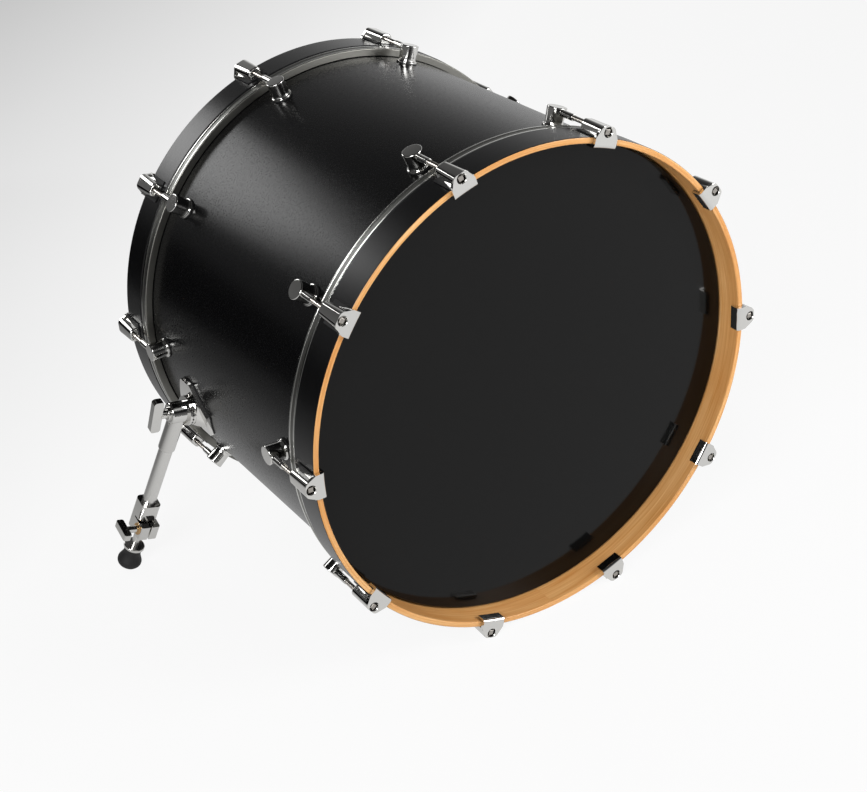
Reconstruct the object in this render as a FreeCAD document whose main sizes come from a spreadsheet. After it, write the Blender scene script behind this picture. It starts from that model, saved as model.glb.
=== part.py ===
import FreeCAD, Part
import math
import os
import re
import Sketcher
from FreeCAD import Placement, Rotation, Vector

# Bass drum with its fitted heads, lying on its hoops and two spurs.
# The drum's axis runs along Y, with the batter head at -Y. The origin is on the floor under the middle.
# Lengths are millimetres and angles are degrees.
SIZES = {
    # Shell, with a bearing edge turned on both ends
    "shell_radius": 278.8,
    "shell_length": 406.4,
    "shell_wall": 7.0,
    "edge_inset": 2.0,
    # Heads: film over the bearing edge, its skirt held in a rim channel by resin
    "collar_gap": 1.6,
    "collar_bend": 2.0,
    "collar_depth": 10.0,
    "ply_thickness": 0.18,
    "ply_gap": 0.06,
    "resonant_ply_thickness": 0.25,
    "film_gap": 0.1,
    "channel_wall": 0.9,
    "channel_width": 9.2,
    "channel_height": 13.0,
    "channel_round": 2.2,
    "skirt_depth": 8.5,
    "resin_depth": 9.0,
    "resin_gap": 0.05,
    # Hoops
    "hoop_gap": 2.1,
    "hoop_thickness": 6.9,
    "hoop_width": 41.0,
    "hoop_round": 1.4,
    "seat_gap": 0.05,
    # Claws and the rubber pads inside them
    "pad_wall": 1.0,
    "pad_inset": 0.8,
    "claw_width": 29.0,
    "claw_plate": 4.0,
    "claw_round": 1.8,
    "hook_wall": 2.6,
    "hook_depth": 9.0,
    "hook_relief": 0.6,
    "crown_width": 15.2,
    "crown_cap": 6.0,
    "crown_round": 6.0,
    "neck_length": 32.0,
    "neck_width": 21.0,
    "nose_width": 12.0,
    "nose_cap": 5.4,
    "neck_round": 8.0,
    "nose_round": 5.4,
    "neck_wall": 2.2,
    "nose_wall": 3.0,
    "shoulder_depth": 11.0,
    "claw_bore_radius": 5.2,
    "claw_bore_depth": 8.6,
    # Tension rods
    "rod_standoff": 6.9,
    "rod_radius": 2.8,
    "rod_clearance": 0.4,
    "rod_collar_radius": 4.4,
    "rod_collar_wall": 1.6,
    "rod_head_side": 5.8,
    "rod_head_height": 6.0,
    "rod_tip_round": 1.2,
    "rod_past_lug": 5.0,
    # Lugs, their gaskets, receiver nuts, screws and washers
    "lug_setback": 54.0,
    "lug_gasket_wall": 1.0,
    "lug_base_radius": 12.4,
    "lug_base_height": 3.2,
    "lug_base_round": 1.0,
    "lug_waist_radius": 9.2,
    "lug_crown_radius": 11.2,
    "lug_crown_drop": 6.5,
    "lug_crown_round": 2.2,
    "lug_cap": 4.8,
    "nut_radius": 3.9,
    "nut_reach": 31.0,
    "nut_tail": 7.0,
    "nut_round": 0.8,
    "running_fit": 0.05,
    "screw_radius": 2.4,
    "screw_reach": 7.0,
    "screw_hole_gap": 0.3,
    "screw_head_radius": 4.6,
    "screw_head_height": 3.2,
    "screw_head_round": 1.2,
    "washer_radius": 7.0,
    "washer_wall": 1.2,
    # Spur brackets on the shell
    "spur_setback": 104.2,
    "spur_gasket_wall": 1.5,
    "bracket_height": 78.0,
    "bracket_width": 72.0,
    "bracket_end_width": 25.0,
    "bracket_wall": 4.0,
    "bracket_round": 5.0,
    "boss_length": 52.0,
    "boss_width": 40.0,
    "boss_round": 12.0,
    "boss_sink": 1.5,
    "disc_radius": 18.0,
    "disc_corner": 16.4,
    "disc_wall": 3.4,
    "disc_lift": 8.2,
    "tooth_width": 2.4,
    "tooth_depth": 1.4,
    "tooth_inner_radius": 10.5,
    "disc_gap": 0.5,
    "bracket_screw_pitch_up": 44.0,
    "bracket_screw_pitch_along": 32.0,
    "bracket_screw_radius": 2.9,
    "bracket_screw_reach": 2.0,
    "bracket_screw_head_radius": 7.5,
    "bracket_screw_head_height": 4.6,
    # Spur legs
    "leg_offset": 20.0,
    "hub_radius": 13.0,
    "hub_height": 13.0,
    "hub_round": 2.4,
    "collar_radius": 10.4,
    "socket_back": 6.0,
    "socket_length": 57.0,
    "socket_round": 3.0,
    "socket_depth": 31.0,
    "tube_radius": 8.6,
    "tube_wall": 1.6,
    "clamp_length": 44.0,
    "clamp_grip": 22.0,
    "clamp_body": 25.0,
    "clamp_round": 6.0,
    "ear_reach": 23.0,
    "ear_width": 25.0,
    "ear_round": 3.0,
    "slit_width": 2.2,
    "clamp_screw_drop": 10.0,
    "clamp_screw_radius": 3.0,
    "clamp_screw_offset": 14.0,
    "clamp_washer_radius": 7.6,
    "clamp_washer_wall": 1.6,
    "clamp_stem_radius": 4.4,
    "clamp_stem_length": 14.0,
    "wing_length": 30.0,
    "wing_height": 9.6,
    "wing_thickness": 8.4,
    "wing_round": 2.6,
    "leg_rod_radius": 4.8,
    "leg_rod_hidden": 92.0,
    "leg_rod_showing": 29.0,
    "spike_length": 14.0,
    "spike_setback": 4.0,
    # T-bolts at the spur pivots
    "bolt_radius": 4.0,
    "bolt_depth": 8.0,
    "bolt_clearance": 0.2,
    "bolt_collar_radius": 8.4,
    "bolt_collar_wall": 2.6,
    "bolt_neck_radius": 5.2,
    "bolt_neck_length": 8.0,
    "bar_sink": 1.0,
    "bar_length": 46.0,
    "bar_height": 12.4,
    "bar_thickness": 9.0,
    "bar_round": 3.6,
    # Feet
    "foot_height": 29.5,
    "foot_radius": 15.2,
    "foot_top_radius": 10.8,
    "foot_waist": 10.0,
    "foot_rim": 2.4,
    "foot_round": 7.0,
    "foot_flare_round": 16.0,
    "foot_rim_round": 6.0,
    "foot_setback": 1.0,
    "foot_bore_gap": 0.4,
    "foot_collar_height": 4.6,
    "foot_collar_radius": 13.2,
    "foot_collar_round": 1.2,
    # Every cut runs this far past the solid that it opens
    "overrun": 2.0,
    # Angles and counts
    "spur_angle": 77.0,
    "pivot_tilt_angle": 10.0,
    "leg_rake_angle": 16.65,
    "leg_splay_angle": 7.75,
    "lug_count": 10,
    "tooth_count": 20,
}

doc = FreeCAD.newDocument("bass_drum")
sheet = doc.addObject("Spreadsheet::Sheet", "Sizes")
for row, (alias, size) in enumerate(SIZES.items(), start=1):
    sheet.set(f"A{row}", alias)
    sheet.set(f"B{row}", str(size))
    sheet.setAlias(f"B{row}", alias)
doc.recompute()

# Places that several pieces share, worked out from the driving sizes
SHELL_END = "(shell_length / 2)"
SHELL_INSIDE = "(shell_radius - shell_wall)"
COLLAR = "(shell_radius + collar_gap)"
BATTER_FILM = "(2 * ply_thickness + ply_gap)"
HOOP_REAR = f"({SHELL_END} - collar_depth)"
HOOP_FRONT = f"({HOOP_REAR} + hoop_width)"
HOOP_INSIDE = f"({COLLAR} + hoop_gap)"
HOOP_OUTSIDE = f"({HOOP_INSIDE} + hoop_thickness)"
CHANNEL_INSIDE = f"({COLLAR} - film_gap - channel_wall)"
CHANNEL_OUTSIDE = f"({CHANNEL_INSIDE} + channel_width)"
CHANNEL_RIM = f"({HOOP_REAR} - seat_gap)"
CHANNEL_FLOOR = f"({CHANNEL_RIM} - channel_height + channel_wall)"
ROD_CIRCLE = f"({HOOP_OUTSIDE} + rod_standoff)"
PLATE_BACK = f"({HOOP_FRONT} + pad_wall)"
PLATE_FRONT = f"({PLATE_BACK} + claw_plate)"
HOOK_TOP = f"({HOOP_INSIDE} - hook_relief - pad_wall)"
ROD_SHOULDER = f"({PLATE_FRONT} - claw_bore_depth)"
LUG_LINE = f"({SHELL_END} - lug_setback)"
LUG_BASE = "(shell_radius + lug_gasket_wall)"
WASHER_TOP = f"(sqrt({SHELL_INSIDE}^2 - washer_radius^2) - seat_gap)"
HALF_STEP = "(180 / lug_count)"
SPUR_LINE = f"({SHELL_END} - spur_setback)"
BRACKET_BASE = "(shell_radius + spur_gasket_wall)"
BRACKET_TOP = f"({BRACKET_BASE} + bracket_wall)"
BRACKET_SCREW_EDGE = "(bracket_screw_pitch_up / 2 + bracket_screw_head_radius)"
SPUR_TURN = "(spur_angle - 180)"
PIVOT_TURN = "(90 + pivot_tilt_angle - spur_angle)"
LEG_DISC = "(disc_lift + disc_gap - leg_offset)"
PIVOT_HEIGHT = f"({HOOP_OUTSIDE} - {BRACKET_TOP} * cos(spur_angle) + leg_offset * sin(pivot_tilt_angle))"
SWING_DROP = "cos(leg_splay_angle) * cos(leg_rake_angle) * cos(pivot_tilt_angle)"
LEG_DROP = f"({SWING_DROP} - sin(leg_splay_angle) * sin(pivot_tilt_angle))"
LEG_LENGTH = f"({PIVOT_HEIGHT} / {LEG_DROP})"
FOOT_TOP = f"({LEG_LENGTH} - foot_setback - foot_height)"
FOOT_COLLAR_TOP = f"({FOOT_TOP} - foot_collar_height)"
CLAMP_END = f"({FOOT_COLLAR_TOP} - leg_rod_showing)"
CLAMP_TOP = f"({CLAMP_END} - clamp_length)"
TUBE_TOP = "(socket_length - socket_depth)"
TUBE_END = f"({CLAMP_TOP} + clamp_grip)"
CLAMP_SCREW = f"({TUBE_END} + clamp_screw_drop)"

X_AXIS = Vector(1, 0, 0)
Y_AXIS = Vector(0, 1, 0)
Z_AXIS = Vector(0, 0, 1)


def spelled(words):
    """An expression in plain size names, with each name pointed at its cell."""
    def point(found):
        name = found[0]
        return f"Sizes.{name}" if name in SIZES else name

    return re.sub(r"[a-z][a-z_]*", point, words)


def value(words):
    """The number that an expression in size names stands for."""
    return float(sheet.evalExpression(spelled(words)))


def bind(thing, setting, words):
    """Ties one setting of a document object to the sheet."""
    thing.setExpression(setting, spelled(words))


def new_body(label):
    body = doc.addObject("PartDesign::Body", label)
    body.Label = label
    return body


def datum(body, role):
    return next(feature for feature in body.Origin.OriginFeatures if feature.Role == role)


def new_sketch(body, plane, shift=("0", "0", "0"), turn=None, about=Y_AXIS):
    """A sketch on one of the body's own planes, moved and turned in that plane's own axes."""
    sketch = body.newObject("Sketcher::SketchObject", f"{body.Name}_sketch")
    sketch.AttachmentSupport = (datum(body, plane), [""])
    sketch.MapMode = "FlatFace"
    place = Vector(*[value(words) for words in shift])
    sketch.AttachmentOffset = Placement(place, Rotation(about, value(turn) if turn else 0))
    for coordinate, words in zip("xyz", shift):
        if words != "0":
            bind(sketch, f"AttachmentOffset.Base.{coordinate}", words)
    if turn:
        bind(sketch, "AttachmentOffset.Rotation.Angle", turn)
    return sketch


def fix(sketch, kind, words, *ends):
    """Adds a measured constraint and ties its value to the sheet."""
    index = sketch.addConstraint(Sketcher.Constraint(kind, *ends, value(words)))
    sketch.renameConstraint(index, f"{kind}_{index}")
    bind(sketch, f"Constraints.{kind}_{index}", words)


def fix_point(sketch, geometry, end, across, up):
    fix(sketch, "DistanceX", across, -1, 1, geometry, end)
    fix(sketch, "DistanceY", up, -1, 1, geometry, end)


def trace(sketch, corners):
    """A closed outline. Each corner is (across, up) or (across, up, radius) for a rounded one."""
    spots = [Vector(value(corner[0]), value(corner[1]), 0) for corner in corners]
    count = len(corners)
    leads = []
    for i, corner in enumerate(corners):
        back = (spots[i - 1] - spots[i]).normalize()
        onward = (spots[(i + 1) % count] - spots[i]).normalize()
        reach = value(corner[2]) / math.tan(back.getAngle(onward) / 2) if len(corner) > 2 else 0
        leads.append((spots[i] + back * reach, spots[i] + onward * reach))
    runs = []
    for i in range(count):
        run = Part.LineSegment(leads[i][1], leads[(i + 1) % count][0])
        runs.append(sketch.addGeometry(run, False))
    for i, corner in enumerate(corners):
        before, after = runs[i - 1], runs[i]
        if len(corner) == 2:
            sketch.addConstraint(Sketcher.Constraint("Coincident", before, 2, after, 1))
            fix_point(sketch, after, 1, corner[0], corner[1])
            continue
        start, stop = leads[i]
        inward = ((start + stop) * 0.5 - spots[i]).normalize()
        radius = value(corner[2])
        centre = spots[i] + inward * math.hypot(radius, (start - spots[i]).Length)
        arc = sketch.addGeometry(Part.Arc(start, centre - inward * radius, stop), False)
        first = 1 if sketch.getPoint(arc, 1).distanceToPoint(start) < radius * 0.01 else 2
        sketch.addConstraint(Sketcher.Constraint("Tangent", before, 2, arc, first))
        sketch.addConstraint(Sketcher.Constraint("Tangent", arc, 3 - first, after, 1))
        fix(sketch, "Radius", corner[2], arc)
        spot = sketch.addGeometry(Part.Point(spots[i]), True)
        fix_point(sketch, spot, 1, corner[0], corner[1])
        sketch.addConstraint(Sketcher.Constraint("PointOnObject", spot, 1, before))
        sketch.addConstraint(Sketcher.Constraint("PointOnObject", spot, 1, after))
    return sketch


def circle(sketch, across, up, radius):
    middle = Vector(value(across), value(up), 0)
    geometry = sketch.addGeometry(Part.Circle(middle, Z_AXIS, value(radius)), False)
    fix_point(sketch, geometry, 3, across, up)
    fix(sketch, "Radius", radius, geometry)
    return sketch


def block(across, up, width, height, radius):
    """The corners of a rounded rectangle about a middle point."""
    left, right = f"{across} - {width} / 2", f"{across} + {width} / 2"
    low, high = f"{up} - {height} / 2", f"{up} + {height} / 2"
    return [(left, low, radius), (right, low, radius), (right, high, radius), (left, high, radius)]


def settle(body, before, feature):
    """Recomputes after a cut and makes sure that it took material away."""
    doc.recompute()
    if not body.Shape.Volume < before:
        raise RuntimeError(f"{feature.Label} cuts nothing from {body.Label}")
    return feature


def revolve(body, sketch, axis="V_Axis", arc=None, cut=False):
    """Turns a profile about an axis of its sketch: all round, or half of arc to each side."""
    doc.recompute()
    before = body.Shape.Volume if cut else 0
    feature = body.newObject("PartDesign::Groove" if cut else "PartDesign::Revolution", f"{body.Name}_turn")
    feature.Profile = sketch
    feature.ReferenceAxis = (sketch, [axis])
    feature.Angle = 360
    if arc:
        feature.Midplane = True
        bind(feature, "Angle", arc)
    return settle(body, before, feature) if cut else feature


def pad(body, sketch, length, both_ways=False, reverse=False, cut=False):
    """Pushes a profile along its normal, or with cut takes it away against its normal."""
    doc.recompute()
    before = body.Shape.Volume if cut else 0
    feature = body.newObject("PartDesign::Pocket" if cut else "PartDesign::Pad", f"{body.Name}_push")
    feature.Profile = sketch
    bind(feature, "Length", length)
    feature.SideType = "Symmetric" if both_ways else "One side"
    feature.Reversed = reverse
    return settle(body, before, feature) if cut else feature


def loft(body, near, far, cut=False):
    doc.recompute()
    before = body.Shape.Volume if cut else 0
    kind = "PartDesign::SubtractiveLoft" if cut else "PartDesign::AdditiveLoft"
    feature = body.newObject(kind, f"{body.Name}_loft")
    feature.Profile = near
    feature.Sections = [far]
    return settle(body, before, feature) if cut else feature


def spread_round(body, count, axis, features=()):
    """Repeats some features, or the whole body, in equal steps about an axis."""
    pattern = body.newObject("PartDesign::PolarPattern", f"{body.Name}_round")
    if features:
        pattern.Originals = list(features)
    else:
        pattern.TransformMode = "Whole shape"
    pattern.Axis = axis
    pattern.Angle = 360
    bind(pattern, "Occurrences", count)
    body.Tip = pattern
    doc.recompute()
    return pattern


def link(label, source, place):
    """A further copy of a finished piece, at a place of its own."""
    copy = doc.addObject("App::Link", label)
    copy.Label = label
    copy.LinkedObject = source
    copy.Placement = place
    return copy


def gather(label, pieces):
    """Like pieces that share one name."""
    group = doc.addObject("Part::Compound", label)
    group.Label = label
    group.Links = pieces
    return group


def mirrored(label, source):
    """The right-hand twin of a left-hand piece."""
    twin = doc.addObject("Part::Mirroring", label)
    twin.Label = label
    twin.Source = source
    twin.Normal = Vector(1, 0, 0)
    return twin


def on_axis(body):
    """Lifts a body drawn about the drum's axis so that the hoops stand on the floor."""
    bind(body, "Placement.Base.z", HOOP_OUTSIDE)
    return body


def end_place(end, step):
    """The place of a copy of a batter-end piece, drawn at the top, after a number of half steps."""
    around = Rotation(Y_AXIS, step * value(HALF_STEP))
    facing = Rotation(Z_AXIS, 0 if end == "batter" else 180)
    return Placement(Vector(0, 0, value(HOOP_OUTSIDE)), facing * around)


def make_shell():
    """A bent wooden tube, with a peaked bearing edge at each end and holes for the screws."""
    body = new_body("shell")
    peak = "(shell_radius - edge_inset)"
    slope = "(shell_wall - edge_inset)"
    profile = trace(new_sketch(body, "XY_Plane"), [
        (SHELL_INSIDE, f"{slope} - {SHELL_END}"),
        (peak, f"-{SHELL_END}"),
        ("shell_radius", f"edge_inset - {SHELL_END}"),
        ("shell_radius", f"{SHELL_END} - edge_inset"),
        (peak, SHELL_END),
        (SHELL_INSIDE, f"{SHELL_END} - {slope}"),
    ])
    revolve(body, profile)
    start = "(shell_radius + overrun)"
    depth = "(shell_wall + 4 * overrun)"
    shift = (f"{start} * sin({HALF_STEP})", "0", f"{start} * cos({HALF_STEP})")
    holes = new_sketch(body, "XY_Plane", shift, HALF_STEP)
    for line in (f"-{LUG_LINE}", LUG_LINE):
        circle(holes, "0", line, "screw_radius + screw_hole_gap")
    lug_holes = pad(body, holes, depth, cut=True)
    spread_round(body, "lug_count", (datum(body, "Y_Axis"), [""]), [lug_holes])
    shift = (f"{start} * sin({SPUR_TURN})", "0", f"{start} * cos({SPUR_TURN})")
    holes = new_sketch(body, "XY_Plane", shift, SPUR_TURN)
    for across, up in bracket_screw_spots():
        circle(holes, across, up, "bracket_screw_radius + screw_hole_gap")
    spur_holes = pad(body, holes, depth, cut=True)
    twin = body.newObject("PartDesign::Mirrored", "spur_holes_twin")
    twin.Originals = [spur_holes]
    twin.MirrorPlane = (datum(body, "YZ_Plane"), [""])
    body.Tip = twin
    return on_axis(body)


def make_hoop(end, side):
    """A bent wooden hoop with eased edges, seated on the head's rim."""
    body = new_body(f"{end}_hoop")
    profile = trace(new_sketch(body, "XY_Plane"), [
        (HOOP_INSIDE, f"{side}{HOOP_REAR}", "hoop_round"),
        (HOOP_OUTSIDE, f"{side}{HOOP_REAR}", "hoop_round"),
        (HOOP_OUTSIDE, f"{side}{HOOP_FRONT}", "hoop_round"),
        (HOOP_INSIDE, f"{side}{HOOP_FRONT}", "hoop_round"),
    ])
    revolve(body, profile)
    return on_axis(body)


def make_ply(label, side, under, thickness):
    """One ply of film: flat over the bearing edge, then bent into a skirt. Under is what lies below it."""
    body = new_body(label)
    wall = f"({COLLAR} + {under})"
    outside = f"({wall} + {thickness})"
    face = f"({SHELL_END} + {under})"
    skirt = f"({CHANNEL_RIM} - skirt_depth)"
    profile = trace(new_sketch(body, "XY_Plane"), [
        ("0", f"{side}{face}"),
        (wall, f"{side}{face}", f"collar_bend + {under}"),
        (wall, f"{side}{skirt}"),
        (outside, f"{side}{skirt}"),
        (outside, f"{side}({face} + {thickness})", f"collar_bend + {under} + {thickness}"),
        ("0", f"{side}({face} + {thickness})"),
    ])
    revolve(body, profile)
    return on_axis(body)


def make_rim(end, side):
    """The head's aluminium rim: a U-shaped channel, open towards the hoop."""
    body = new_body(f"{end}_head_rim")
    bottom = f"({CHANNEL_RIM} - channel_height)"
    inner_wall = f"({CHANNEL_INSIDE} + channel_wall)"
    outer_wall = f"({CHANNEL_OUTSIDE} - channel_wall)"
    profile = trace(new_sketch(body, "XY_Plane"), [
        (CHANNEL_INSIDE, f"{side}{CHANNEL_RIM}"),
        (inner_wall, f"{side}{CHANNEL_RIM}"),
        (inner_wall, f"{side}{CHANNEL_FLOOR}"),
        (outer_wall, f"{side}{CHANNEL_FLOOR}"),
        (outer_wall, f"{side}{CHANNEL_RIM}"),
        (CHANNEL_OUTSIDE, f"{side}{CHANNEL_RIM}"),
        (CHANNEL_OUTSIDE, f"{side}{bottom}", "channel_round"),
        (CHANNEL_INSIDE, f"{side}{bottom}", "channel_wall"),
    ])
    revolve(body, profile)
    return on_axis(body)


def make_resin(end, side, film):
    """The cured bead that fills the channel beside the film's skirt."""
    body = new_body(f"{end}_resin")
    inside = f"({COLLAR} + {film} + film_gap)"
    outside = f"({CHANNEL_OUTSIDE} - channel_wall - resin_gap)"
    low = f"({CHANNEL_FLOOR} + resin_gap)"
    high = f"({CHANNEL_FLOOR} + resin_depth)"
    profile = trace(new_sketch(body, "XY_Plane"), [
        (inside, f"{side}{low}"),
        (outside, f"{side}{low}"),
        (outside, f"{side}{high}"),
        (inside, f"{side}{high}"),
    ])
    revolve(body, profile)
    return on_axis(body)


def arch(body, depth, width, cap, radius, low):
    """A round-topped outline across the drum, at a depth behind the claw's plate."""
    sketch = new_sketch(body, "XZ_Plane", ("0", "0", f"{PLATE_BACK} - {depth}"))
    high = f"{ROD_CIRCLE} + {cap}"
    return trace(sketch, [
        (f"-{width} / 2", low),
        (f"{width} / 2", low),
        (f"{width} / 2", high, radius),
        (f"-{width} / 2", high, radius),
    ])


def tapered(wide, narrow, depth):
    """A size of the claw's neck at a depth behind the plate."""
    return f"({wide} + ({narrow} - {wide}) * {depth} / neck_length)"


def make_claw():
    """A cast claw at the top of the batter end: hook, face plate, and a hollow neck round the rod."""
    body = new_body("batter_claws")
    hook_low = f"({HOOK_TOP} - hook_wall)"
    hook_end = f"({HOOP_FRONT} - hook_depth)"
    hook = trace(new_sketch(body, "YZ_Plane"), [
        (f"-{PLATE_FRONT}", hook_low, "claw_round"),
        (f"-{hook_end}", hook_low, "hook_wall / 2"),
        (f"-{hook_end}", HOOK_TOP),
        (f"-{PLATE_BACK}", HOOK_TOP),
        (f"-{PLATE_BACK}", HOOP_OUTSIDE),
        (f"-{PLATE_FRONT}", HOOP_OUTSIDE),
    ])
    pad(body, hook, "claw_width", both_ways=True)
    plate = trace(new_sketch(body, "XZ_Plane", ("0", "0", PLATE_BACK)), [
        ("-claw_width / 2", HOOK_TOP),
        ("claw_width / 2", HOOK_TOP),
        ("claw_width / 2", HOOP_OUTSIDE),
        ("crown_width / 2", f"{ROD_CIRCLE} + crown_cap", "crown_round"),
        ("-crown_width / 2", f"{ROD_CIRCLE} + crown_cap", "crown_round"),
        ("-claw_width / 2", HOOP_OUTSIDE),
    ])
    pad(body, plate, "claw_plate")
    seat = f"({HOOP_OUTSIDE} + pad_wall)"
    near = arch(body, "0", "neck_width", "crown_cap", "neck_round", seat)
    far = arch(body, "neck_length", "nose_width", "nose_cap", "nose_round", seat)
    loft(body, near, far)
    below = f"({seat} - overrun)"
    shapes = []
    for depth in ("shoulder_depth", "(neck_length - nose_wall)"):
        width = f"({tapered('neck_width', 'nose_width', depth)} - 2 * neck_wall)"
        cap = f"({tapered('crown_cap', 'nose_cap', depth)} - neck_wall)"
        radius = f"({tapered('neck_round', 'nose_round', depth)} - neck_wall)"
        shapes.append(arch(body, depth, width, cap, radius, below))
    loft(body, shapes[0], shapes[1], cut=True)
    face = ("0", "0", PLATE_FRONT)
    bore = circle(new_sketch(body, "XZ_Plane", face), "0", ROD_CIRCLE, "claw_bore_radius")
    pad(body, bore, "claw_bore_depth", cut=True)
    hole = circle(new_sketch(body, "XZ_Plane", face), "0", ROD_CIRCLE, "rod_radius + rod_clearance")
    pad(body, hole, "claw_plate + neck_length + overrun", cut=True)
    spread_round(body, "lug_count", (datum(body, "Y_Axis"), [""]))
    body.Placement = end_place("batter", 1)
    return on_axis(body)


def make_claw_pads():
    """Rubber pads wrapped round the hoop's edge, one inside each claw."""
    body = new_body("batter_claw_pads")
    hook_end = f"({HOOP_FRONT} - hook_depth)"
    neck_end = f"({PLATE_BACK} - neck_length)"
    inner_face = f"({HOOK_TOP} + pad_wall)"
    wrap = trace(new_sketch(body, "YZ_Plane"), [
        (f"-{hook_end}", HOOK_TOP),
        (f"-{PLATE_BACK}", HOOK_TOP),
        (f"-{PLATE_BACK}", f"{HOOP_OUTSIDE} + pad_wall"),
        (f"-{neck_end}", f"{HOOP_OUTSIDE} + pad_wall"),
        (f"-{neck_end}", HOOP_OUTSIDE),
        (f"-{HOOP_FRONT}", HOOP_OUTSIDE),
        (f"-{HOOP_FRONT}", inner_face),
        (f"-{hook_end}", inner_face),
    ])
    pad(body, wrap, "claw_width - 2 * pad_inset", both_ways=True)
    spread_round(body, "lug_count", (datum(body, "Y_Axis"), [""]))
    body.Placement = end_place("batter", 1)
    return on_axis(body)


def make_rod():
    """A tension rod at the top of the batter end, with a collar and a square head for a key."""
    body = new_body("tension_rod")
    collar = f"({ROD_SHOULDER} + rod_collar_wall)"
    tip = f"({LUG_LINE} - rod_past_lug)"
    profile = trace(new_sketch(body, "YZ_Plane", ("0", ROD_CIRCLE, "0")), [
        (f"-{collar}", "0"),
        (f"-{collar}", "rod_collar_radius"),
        (f"-{ROD_SHOULDER}", "rod_collar_radius"),
        (f"-{ROD_SHOULDER}", "rod_radius"),
        (f"-{tip}", "rod_radius", "rod_tip_round"),
        (f"-{tip}", "0"),
    ])
    revolve(body, profile, "H_Axis")
    head = new_sketch(body, "XZ_Plane", ("0", "0", collar))
    half = "rod_head_side / 2"
    low, high = f"{ROD_CIRCLE} - {half}", f"{ROD_CIRCLE} + {half}"
    trace(head, [(f"-{half}", low), (half, low), (half, high), (f"-{half}", high)])
    pad(body, head, "rod_head_height")
    return body


def make_lugs():
    """Turret lugs of the batter end: a flanged round post with a cross bore and a screw hole below."""
    body = new_body("batter_lugs")
    top = f"({ROD_CIRCLE} + lug_cap)"
    profile = trace(new_sketch(body, "YZ_Plane", (f"-{LUG_LINE}", "0", "0")), [
        ("0", LUG_BASE),
        ("lug_base_radius", LUG_BASE),
        ("lug_base_radius", f"{LUG_BASE} + lug_base_height", "lug_base_round"),
        ("lug_waist_radius", f"{LUG_BASE} + lug_base_height"),
        ("lug_crown_radius", f"{top} - lug_crown_drop"),
        ("lug_crown_radius", top, "lug_crown_round"),
        ("0", top),
    ])
    revolve(body, profile)
    mouth = ("0", "0", f"{LUG_LINE} + lug_crown_radius + overrun")
    bore = circle(new_sketch(body, "XZ_Plane", mouth), "0", ROD_CIRCLE, "nut_radius + running_fit")
    pad(body, bore, "lug_crown_radius + overrun + nut_tail", cut=True)
    hole = new_sketch(body, "XY_Plane", ("0", "0", LUG_BASE))
    circle(hole, "0", f"-{LUG_LINE}", "screw_radius + running_fit")
    pad(body, hole, "screw_reach + overrun", reverse=True, cut=True)
    spread_round(body, "lug_count", (datum(body, "Y_Axis"), [""]))
    body.Placement = end_place("batter", 1)
    return on_axis(body)


def make_lug_gaskets():
    """Thin gaskets under the lugs, flat above and hollowed below to sit on the round shell."""
    body = new_body("batter_lug_gaskets")
    foot = "(shell_radius - lug_gasket_wall)"
    disc = new_sketch(body, "XY_Plane", ("0", "0", foot))
    circle(disc, "0", f"-{LUG_LINE}", "lug_base_radius")
    circle(disc, "0", f"-{LUG_LINE}", "screw_radius + screw_hole_gap")
    pad(body, disc, "2 * lug_gasket_wall")
    reach = "(lug_base_radius + overrun)"
    drum = trace(new_sketch(body, "YZ_Plane"), [
        (f"-{LUG_LINE} - {reach}", "0"),
        (f"{reach} - {LUG_LINE}", "0"),
        (f"{reach} - {LUG_LINE}", "shell_radius"),
        (f"-{LUG_LINE} - {reach}", "shell_radius"),
    ])
    revolve(body, drum, "H_Axis", cut=True)
    spread_round(body, "lug_count", (datum(body, "Y_Axis"), [""]))
    body.Placement = end_place("batter", 1)
    return on_axis(body)


def make_nuts():
    """Receiver nuts: threaded tubes in the lugs' cross bores, standing out towards the claws."""
    body = new_body("batter_nuts")
    mouth = f"({LUG_LINE} + nut_reach)"
    tail = f"({LUG_LINE} - nut_tail)"
    bore = "(rod_radius + running_fit)"
    profile = trace(new_sketch(body, "YZ_Plane", ("0", ROD_CIRCLE, "0")), [
        (f"-{mouth}", bore),
        (f"-{mouth}", "nut_radius", "nut_round"),
        (f"-{tail}", "nut_radius"),
        (f"-{tail}", bore),
    ])
    revolve(body, profile, "H_Axis")
    spread_round(body, "lug_count", (datum(body, "Y_Axis"), [""]))
    body.Placement = end_place("batter", 1)
    return on_axis(body)


def make_lug_screws():
    """Pan-headed screws from inside the shell, up into the lugs."""
    body = new_body("batter_lug_screws")
    seat = f"({WASHER_TOP} - washer_wall)"
    low = f"({seat} - screw_head_height)"
    tip = f"({LUG_BASE} + screw_reach)"
    profile = trace(new_sketch(body, "YZ_Plane", (f"-{LUG_LINE}", "0", "0")), [
        ("0", low),
        ("screw_head_radius", low, "screw_head_round"),
        ("screw_head_radius", seat),
        ("screw_radius", seat),
        ("screw_radius", tip),
        ("0", tip),
    ])
    revolve(body, profile)
    spread_round(body, "lug_count", (datum(body, "Y_Axis"), [""]))
    body.Placement = end_place("batter", 1)
    return on_axis(body)


def make_lug_washers():
    """Flat washers between the screw heads and the inside of the shell."""
    body = new_body("batter_lug_washers")
    ring = new_sketch(body, "XY_Plane", ("0", "0", f"{WASHER_TOP} - washer_wall"))
    circle(ring, "0", f"-{LUG_LINE}", "washer_radius")
    circle(ring, "0", f"-{LUG_LINE}", "screw_radius + screw_hole_gap")
    pad(body, ring, "washer_wall")
    spread_round(body, "lug_count", (datum(body, "Y_Axis"), [""]))
    body.Placement = end_place("batter", 1)
    return on_axis(body)


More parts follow.
